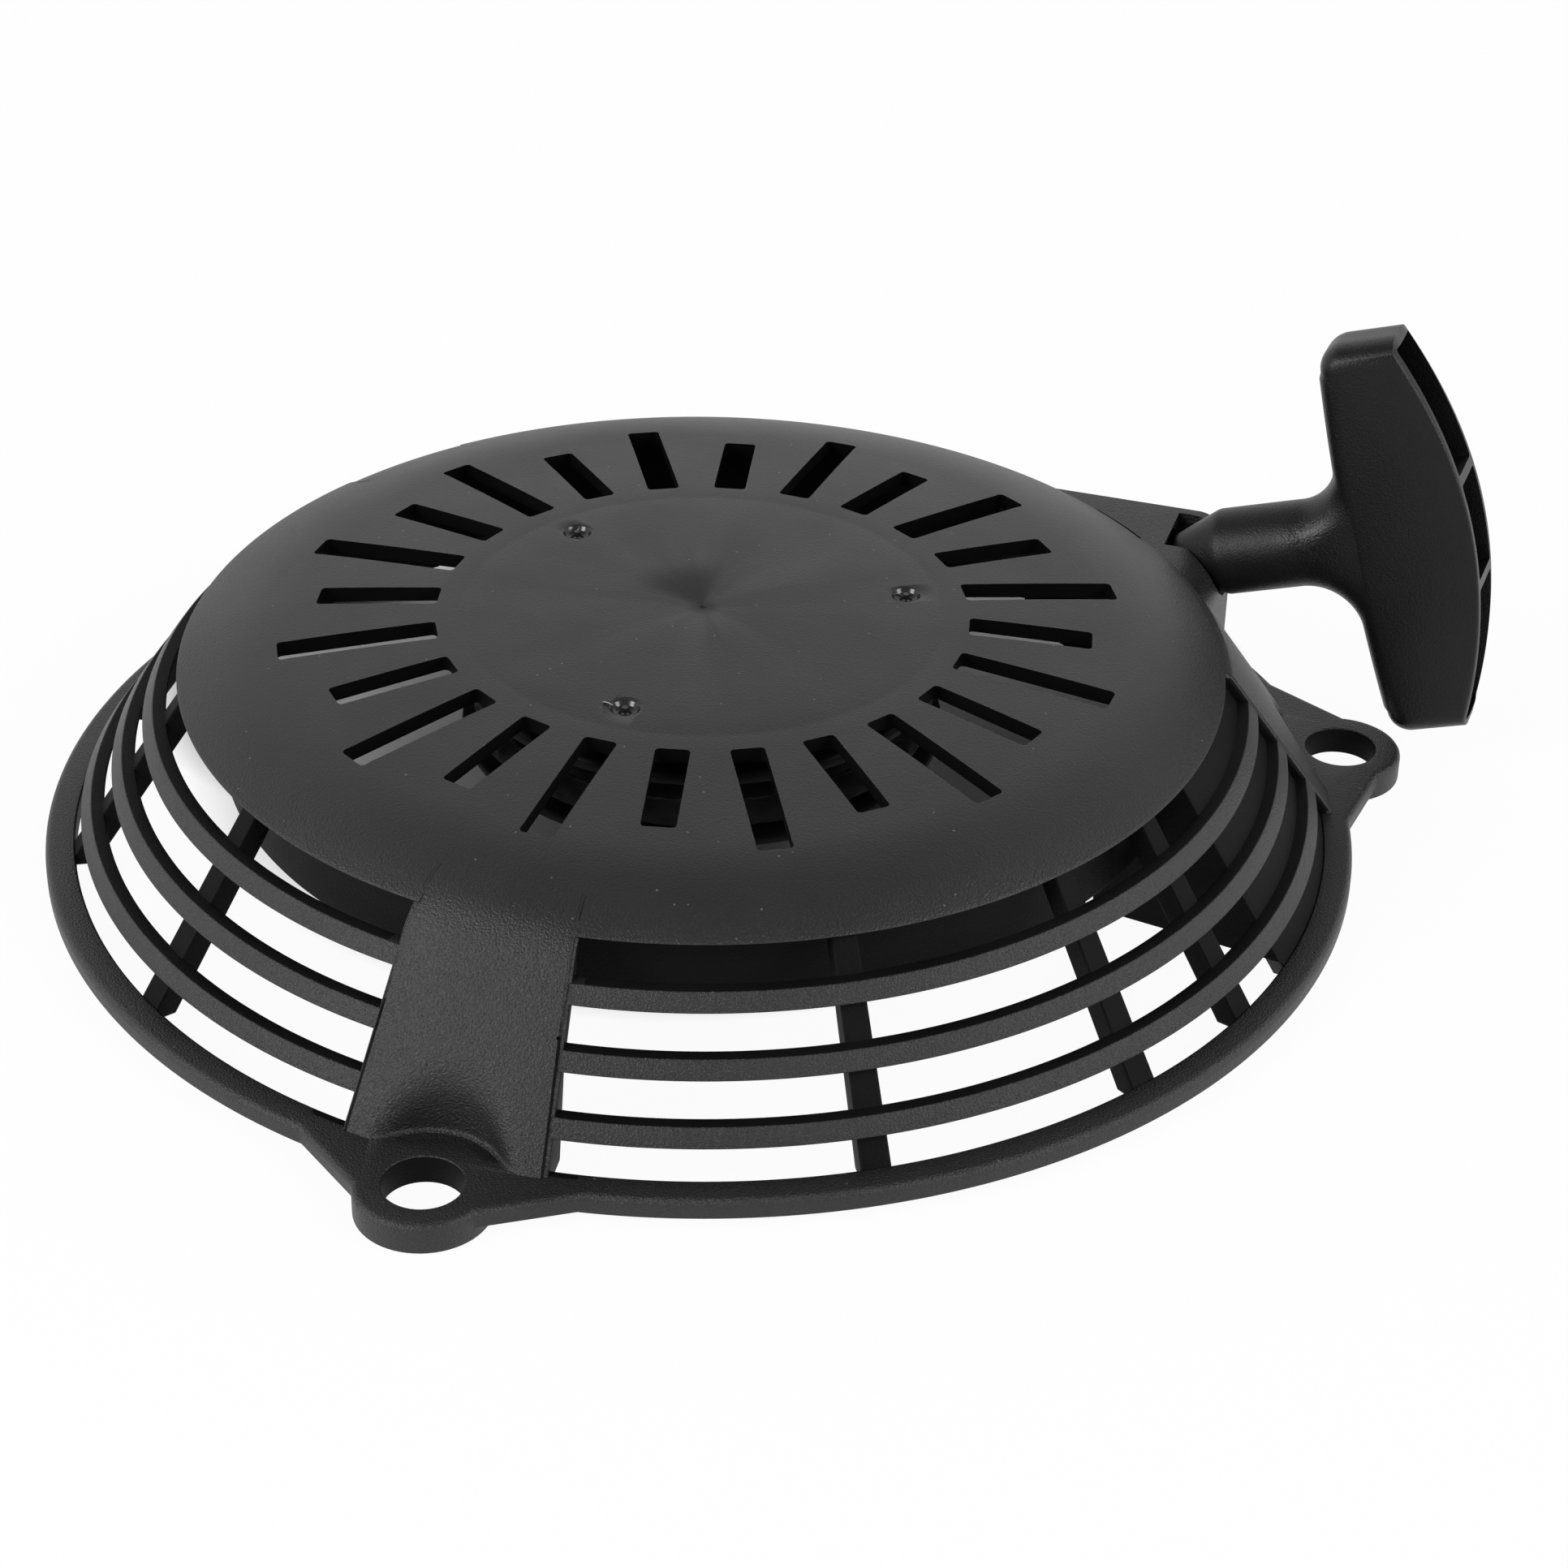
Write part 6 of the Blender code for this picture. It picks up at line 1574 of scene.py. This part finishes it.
def make_pawls(sizes, finishes):
    """The two drive pawls with their pegs, and the pins they swing on."""
    finish = steel_finish("pawl_steel", tuple(finishes.pawl_colour), 1400.0, 0.34, 0.52, (0.45, 0.45, 0.46))
    pin_finish = steel_finish("pin_zinc", tuple(finishes.zinc_colour), 2200.0, 0.22, 0.36, (0.66, 0.67, 0.68))
    eye = PAWL_EYE
    tip = PAWL_LENGTH
    corners = [(-eye * 0.96, -tip * 0.45, 0.004), (-eye * 0.60, -tip * 0.76, 0.003)]
    corners += [(-eye * 0.10, -tip, 0.0006), (eye * 0.72, -tip * 0.98, 0.0006)]
    outline = rounded([(x, y, 0) for x, y in arc((0, 0), eye, -8, 188, 40)] + corners)
    for letter, side in (("a", 1), ("b", -1)):
        pawl = slab(f"drive_pawl_{letter}", outline, PAWL_BOTTOM, PAWL_TOP, 0.0003)
        peg_profile = [(0, PLATE_BOTTOM + GAP), (PEG_RADIUS - 0.0003, PLATE_BOTTOM + GAP), (PEG_RADIUS, PLATE_BOTTOM + 2 * GAP)]
        peg_profile += [(PEG_RADIUS, PAWL_BOTTOM + JOIN), (0, PAWL_BOTTOM + JOIN)]
        peg = turned("peg", peg_profile, SMALL_SEGMENTS, Matrix.Translation((*PEG_PLACE, 0)))
        combine(pawl, [peg], "UNION")
        combine(pawl, [flared_hole("eye", PIN_RADIUS + GAP, PAWL_BOTTOM, PAWL_TOP, 0.0003, Matrix.Identity(4))], "DIFFERENCE")
        place = Matrix.Translation((side * PAWL_CIRCLE, 0, 0))
        pawl.data.transform(place @ Matrix.Rotation(0 if side > 0 else math.pi, 4, "Z"))
        finished(pawl, finish, "pawl_steel", f"pawl_{letter}_body", f"pawl_{letter}")
        low = PAWL_BOTTOM
        corners = [(0, low, 0), (PIN_RADIUS, low, 0.0004), (PIN_RADIUS, low + PIN_LENGTH, 0.0004), (0, low + PIN_LENGTH, 0)]
        pin = turned(f"pivot_pin_{letter}", rounded(corners), SMALL_SEGMENTS, place)
        finished(pin, pin_finish, "zinc_plate", "reel_body", f"pawl_pin_{letter}")


def make_plate(sizes, finishes):
    """Ratchet plate under the pawls, with a cam slot for each peg."""
    edge = sizes.edge_round
    bore = POST_RADIUS + GAP
    corners = [
        (bore, PLATE_TOP, edge),
        (PLATE_RADIUS, PLATE_TOP, edge),
        (PLATE_RADIUS, PLATE_BOTTOM, edge * 1.4),
        (0.0175, PLATE_BOTTOM, 0),
        (0.0150, PLATE_BOTTOM + 0.0005, 0.002),
        (0.0128, PLATE_BOTTOM, 0.002),
        (bore, PLATE_BOTTOM, edge),
    ]
    plate = turned("ratchet_plate", rounded(corners), REEL_SEGMENTS)
    path = []
    for share in np.linspace(0, 1, 17):
        peg = Vector(turned_about_z([PEG_PLACE], math.radians(PAWL_SWING * share))[0]) + Vector((PAWL_CIRCLE, 0))
        path.append(Vector(turned_about_z([peg], -math.radians(PLATE_LAG * share))[0]))
    outline = slot_outline(path, PEG_RADIUS + CAM_CLEARANCE)
    low = PLATE_BOTTOM - OVERSHOOT
    high = PLATE_TOP + OVERSHOOT
    cuts = [slab("cam_slot", turned_about_z(outline, turn), low, high) for turn in (0.0, math.pi)]
    combine(plate, cuts, "DIFFERENCE")
    finish = moulded_plastic("guide_grey", tuple(finishes.plate_colour), 0.44, 0.00002, 0.4)
    finished(plate, finish, "guide_grey", "guide_body", "ratchet_guide")


def slot_outline(path, half_width):
    """Outline of a round-ended slot along a path in the plane."""
    left = []
    right = []
    for index, point in enumerate(path):
        ahead = path[min(index + 1, len(path) - 1)] - path[max(index - 1, 0)]
        side = Vector((-ahead.y, ahead.x)).normalized() * half_width
        left.append(tuple(point + side))
        right.append(tuple(point - side))
    end = path[-1] - path[-2]
    start = path[0] - path[1]
    end_turn = math.degrees(math.atan2(end.y, end.x))
    start_turn = math.degrees(math.atan2(start.y, start.x))
    end_cap = arc(path[-1], half_width, end_turn - 90, end_turn + 90, 12)[1:-1]
    start_cap = arc(path[0], half_width, start_turn - 90, start_turn + 90, 12)[1:-1]
    return right + end_cap + left[::-1] + start_cap


def make_fittings(sizes, finishes):
    """Flanged screw, its washer, the knot's washer and the rope's eyelet."""
    zinc = steel_finish("zinc_plate", tuple(finishes.zinc_colour), 1800.0, 0.24, 0.40, (0.68, 0.69, 0.70))
    hole = SCREW_RADIUS + 2 * GAP
    edge = 0.0003
    corners = [(hole, WASHER_TOP, edge), (WASHER_RADIUS, WASHER_TOP, edge)]
    corners += [(WASHER_RADIUS, WASHER_BOTTOM, edge), (hole, WASHER_BOTTOM, edge)]
    finished(turned("flat_washer", rounded(corners), 96), zinc, "zinc_plate", "housing_body", "thrust_washer")
    finished(screw_solid(), zinc, "zinc_plate", "housing_body", "centre_screw")
    corners = [(ROPE_HOLE, KNOT_WASHER_HIGH, edge), (KNOT_WASHER_RADIUS, KNOT_WASHER_HIGH, edge)]
    corners += [(KNOT_WASHER_RADIUS, KNOT_WASHER_LOW, edge), (ROPE_HOLE, KNOT_WASHER_LOW, edge)]
    lay_down = HANDLE_PLACE @ Matrix.Rotation(math.radians(90), 4, "Y")
    small = turned("rope_washer", rounded(corners), 64, lay_down)
    finished(small, zinc, "zinc_plate", "handle_body", "knot_washer")
    half = EYELET_LENGTH / 2
    lip = (EYELET_RADIUS - EYELET_BORE) / 2
    corners = [(EYELET_BORE, half - lip, 0.0006), (EYELET_BORE + lip, half, 0.0006), (EYELET_RADIUS, half - lip / 2, 0.0004)]
    corners += [(EYELET_RADIUS, lip / 2 - half, 0.0004), (EYELET_BORE + lip, -half, 0.0006), (EYELET_BORE, lip - half, 0.0006)]
    place = Matrix.Translation(ROPE_BEND) @ eyelet_axis().to_track_quat("Z", "Y").to_matrix().to_4x4()
    finished(turned("steel_eyelet", rounded(corners), 72, place), zinc, "zinc_plate", "housing_body", "rope_eyelet")


def screw_solid():
    """Hex screw with a flange, a washer-faced head and a threaded shank."""
    low = SCREW_FLANGE_BOTTOM
    profile = [(0.0, SCREW_HEAD_BOTTOM + 0.0006), (0.0028, SCREW_HEAD_BOTTOM + 0.0006), (0.0030, low + 0.0002)]
    profile += [(SCREW_FLANGE_RADIUS - 0.0004, low), (SCREW_FLANGE_RADIUS, low + 0.0003)]
    profile += [(SCREW_FLANGE_RADIUS, SCREW_TOP - 0.0002), (SCREW_FLANGE_RADIUS - 0.0002, SCREW_TOP)]
    profile += [(SCREW_RADIUS, SCREW_TOP)]
    thread = np.arange(SCREW_TOP + 0.0010, SCREW_TIP - 0.0015, 0.0005)
    profile += [(SCREW_RADIUS - (0.0003 if index % 2 else 0.0), z) for index, z in enumerate(thread)]
    profile += [(SCREW_RADIUS - 0.0006, SCREW_TIP), (0.0, SCREW_TIP)]
    screw = turned("flange_screw", profile, 72)
    corner = SCREW_HEAD_FLATS / math.sqrt(3)
    hexagon = slab("hexagon", arc((0, 0), corner, 0, 300, 5), SCREW_HEAD_BOTTOM, low + JOIN)
    dressing = [(0, SCREW_HEAD_BOTTOM), (SCREW_HEAD_FLATS / 2 * 0.93, SCREW_HEAD_BOTTOM)]
    dressing += [(corner, SCREW_HEAD_BOTTOM + 0.0006), (corner, low + JOIN), (0, low + JOIN)]
    combine(hexagon, [turned("dressing", dressing, 72)], "INTERSECT")
    return combine(screw, [hexagon], "UNION")


def floor_finish():
    """Near-white floor that is seen as white, apart from the shade under the disc and a part of the shadow beside it."""
    made, tree, shader = new_finish("stage_floor")
    where = object_place(tree)
    tone = tinted(tree, noise(tree, where, 3.0), (0.3, (0.80, 0.80, 0.80)), (0.7, (0.82, 0.82, 0.82)))
    tree.links.new(tone, shader.inputs["Base Color"])
    shader.inputs["Roughness"].default_value = 0.9
    shader.inputs["Specular IOR Level"].default_value = 0.0
    open_floor = 0.95
    for middle, inner, outer in SHADES:
        away = add(tree, "ShaderNodeVectorMath", ((0, where), (1, middle)), operation="DISTANCE").outputs["Value"]
        open_floor = calc(tree, "MULTIPLY", spread_to(tree, away, inner, outer, 0.0, 1.0), open_floor)
    white = add(tree, "ShaderNodeEmission", (("Color", (1, 1, 1, 1)), ("Strength", 1.0)))
    share = calc(tree, "MULTIPLY", seen_share(tree), open_floor)
    mixed = add(tree, "ShaderNodeMixShader", ((0, share), (1, shader.outputs[0]), (2, white.outputs[0])))
    tree.links.new(mixed.outputs[0], tree.nodes["Material Output"].inputs["Surface"])
    return made


def seen_share(tree):
    """1 for the rays that show the background: camera, glossy and transmission rays."""
    path = add(tree, "ShaderNodeLightPath")
    seen = calc(tree, "MAXIMUM", path.outputs["Is Camera Ray"], path.outputs["Is Glossy Ray"])
    return calc(tree, "MAXIMUM", seen, path.outputs["Is Transmission Ray"])


def make_world():
    """A plain surround: white from the floor's edge to above eye height, dimmer overhead and behind the camera."""
    world = bpy.data.worlds.new("surround")
    world.use_nodes = True
    tree = world.node_tree
    way = add(tree, "ShaderNodeTexCoord").outputs["Generated"]
    rise = add(tree, "ShaderNodeSeparateXYZ", (("Vector", way),))
    strength = spread_to(tree, rise.outputs["Z"], 0.53, 0.88, 1.0, 0.22)
    front = spread_to(tree, rise.outputs["Y"], -0.85, -0.35, 0.45, 1.0)
    strength = calc(tree, "MULTIPLY", strength, front)
    tree.links.new(strength, tree.nodes["Background"].inputs["Strength"])
    tree.nodes["Background"].inputs["Color"].default_value = (1, 1, 1, 1)
    bpy.context.scene.world = world


def add_lamp(name, place, target, size, power):
    """A soft square lamp aimed at a point."""
    data = bpy.data.lights.new(name, "AREA")
    data.size = size
    data.energy = power
    lamp = bpy.data.objects.new(name, data)
    bpy.context.scene.collection.objects.link(lamp)
    lamp.location = place
    lamp.rotation_euler = (Vector(target) - Vector(place)).to_track_quat("-Z", "Y").to_euler()


def make_camera():
    """The reference view's camera."""
    data = bpy.data.cameras.new("view")
    data.lens = CAMERA_LENS
    data.sensor_width = 36.0
    data.sensor_fit = "HORIZONTAL"
    data.clip_start = 0.01
    data.clip_end = 50.0
    camera = bpy.data.objects.new("view", data)
    bpy.context.scene.collection.objects.link(camera)
    forward = CAMERA_FORWARD.normalized()
    level = forward.cross(Vector((0, 0, 1))).normalized()
    upward = level.cross(forward)
    right = level * math.cos(CAMERA_ROLL) + upward * math.sin(CAMERA_ROLL)
    upright = upward * math.cos(CAMERA_ROLL) - level * math.sin(CAMERA_ROLL)
    turn = Matrix((right, upright, -forward)).transposed()
    camera.matrix_world = Matrix.Translation(CAMERA_PLACE) @ turn.to_4x4()
    bpy.context.scene.camera = camera


def make_stage(sizes):
    """Camera, floor, surround and lamps."""
    make_camera()
    half = sizes.floor_size / 2
    mesh = bpy.data.meshes.new("floor")
    mesh.from_pydata([(-half, -half, 0), (half, -half, 0), (half, half, 0), (-half, half, 0)], [], [(0, 1, 2, 3)])
    mesh.materials.append(floor_finish())
    floor = bpy.data.objects.new("floor", mesh)
    floor.location = (0, 0, -0.0002)
    bpy.context.scene.collection.objects.link(floor)
    make_world()
    add_lamp("key", (-1.02, -0.42, 0.66), (0, 0, 0.02), 0.6, 10.5)
    add_lamp("fill", (0.90, -0.66, 0.63), (0, 0, 0.02), 0.6, 8.0)
    bpy.context.scene.view_settings.view_transform = "Standard"


class STARTER_OT_stage(bpy.types.Operator):
    """Makes the camera, floor, surround and lamps."""

    bl_idname = "starter.stage"
    bl_label = "Stage"

    def execute(self, context):
        make_stage(context.scene.starter_sizes)
        return {"FINISHED"}


class STARTER_OT_housing(bpy.types.Operator):
    """Makes the housing."""

    bl_idname = "starter.housing"
    bl_label = "Housing"

    def execute(self, context):
        make_housing(context.scene.starter_sizes, context.scene.starter_finishes)
        return {"FINISHED"}


class STARTER_OT_handle(bpy.types.Operator):
    """Makes the handle."""

    bl_idname = "starter.handle"
    bl_label = "Handle"

    def execute(self, context):
        make_handle(context.scene.starter_sizes, context.scene.starter_finishes)
        return {"FINISHED"}


class STARTER_OT_reel(bpy.types.Operator):
    """Makes the rope reel."""

    bl_idname = "starter.reel"
    bl_label = "Reel"

    def execute(self, context):
        make_reel(context.scene.starter_sizes, context.scene.starter_finishes)
        return {"FINISHED"}


class STARTER_OT_rope(bpy.types.Operator):
    """Makes the rope with its knots."""

    bl_idname = "starter.rope"
    bl_label = "Rope"

    def execute(self, context):
        make_rope(context.scene.starter_sizes, context.scene.starter_finishes)
        return {"FINISHED"}


class STARTER_OT_springs(bpy.types.Operator):
    """Makes the springs."""

    bl_idname = "starter.springs"
    bl_label = "Springs"

    def execute(self, context):
        make_springs(context.scene.starter_sizes, context.scene.starter_finishes)
        return {"FINISHED"}


class STARTER_OT_pawls(bpy.types.Operator):
    """Makes the pawls and their pins."""

    bl_idname = "starter.pawls"
    bl_label = "Pawls"

    def execute(self, context):
        make_pawls(context.scene.starter_sizes, context.scene.starter_finishes)
        return {"FINISHED"}


class STARTER_OT_plate(bpy.types.Operator):
    """Makes the ratchet plate."""

    bl_idname = "starter.plate"
    bl_label = "Ratchet plate"

    def execute(self, context):
        make_plate(context.scene.starter_sizes, context.scene.starter_finishes)
        return {"FINISHED"}


class STARTER_OT_fittings(bpy.types.Operator):
    """Makes the screw, washers and eyelet."""

    bl_idname = "starter.fittings"
    bl_label = "Fittings"

    def execute(self, context):
        make_fittings(context.scene.starter_sizes, context.scene.starter_finishes)
        return {"FINISHED"}


OPERATORS = (
    STARTER_OT_stage,
    STARTER_OT_housing,
    STARTER_OT_handle,
    STARTER_OT_reel,
    STARTER_OT_rope,
    STARTER_OT_springs,
    STARTER_OT_pawls,
    STARTER_OT_plate,
    STARTER_OT_fittings,
)


class STARTER_PT_panel(bpy.types.Panel):
    """Lists the starter's sizes, colours and pieces."""

    bl_idname = "STARTER_PT_panel"
    bl_label = "Recoil Starter"
    bl_space_type = "VIEW_3D"
    bl_region_type = "UI"
    bl_category = "Starter"

    def draw(self, context):
        for group in (context.scene.starter_sizes, context.scene.starter_finishes):
            for key in group.__annotations__:
                self.layout.prop(group, key)
        for operator in OPERATORS:
            self.layout.operator(operator.bl_idname)


CLASSES = (StarterFinishes, StarterSizes, *OPERATORS, STARTER_PT_panel)


def register():
    """Adds the classes and the scene's settings."""
    for kind in CLASSES:
        bpy.utils.register_class(kind)
    bpy.types.Scene.starter_finishes = bpy.props.PointerProperty(type=StarterFinishes)
    bpy.types.Scene.starter_sizes = bpy.props.PointerProperty(type=StarterSizes)


def unregister():
    """Takes the classes and the scene's settings away."""
    del bpy.types.Scene.starter_sizes
    del bpy.types.Scene.starter_finishes
    for kind in reversed(CLASSES):
        bpy.utils.unregister_class(kind)


def main():
    """Builds every piece in order."""
    register()
    for operator in OPERATORS:
        group, name = operator.bl_idname.split(".")
        getattr(getattr(bpy.ops, group), name)()


if __name__ == "__main__":
    main()
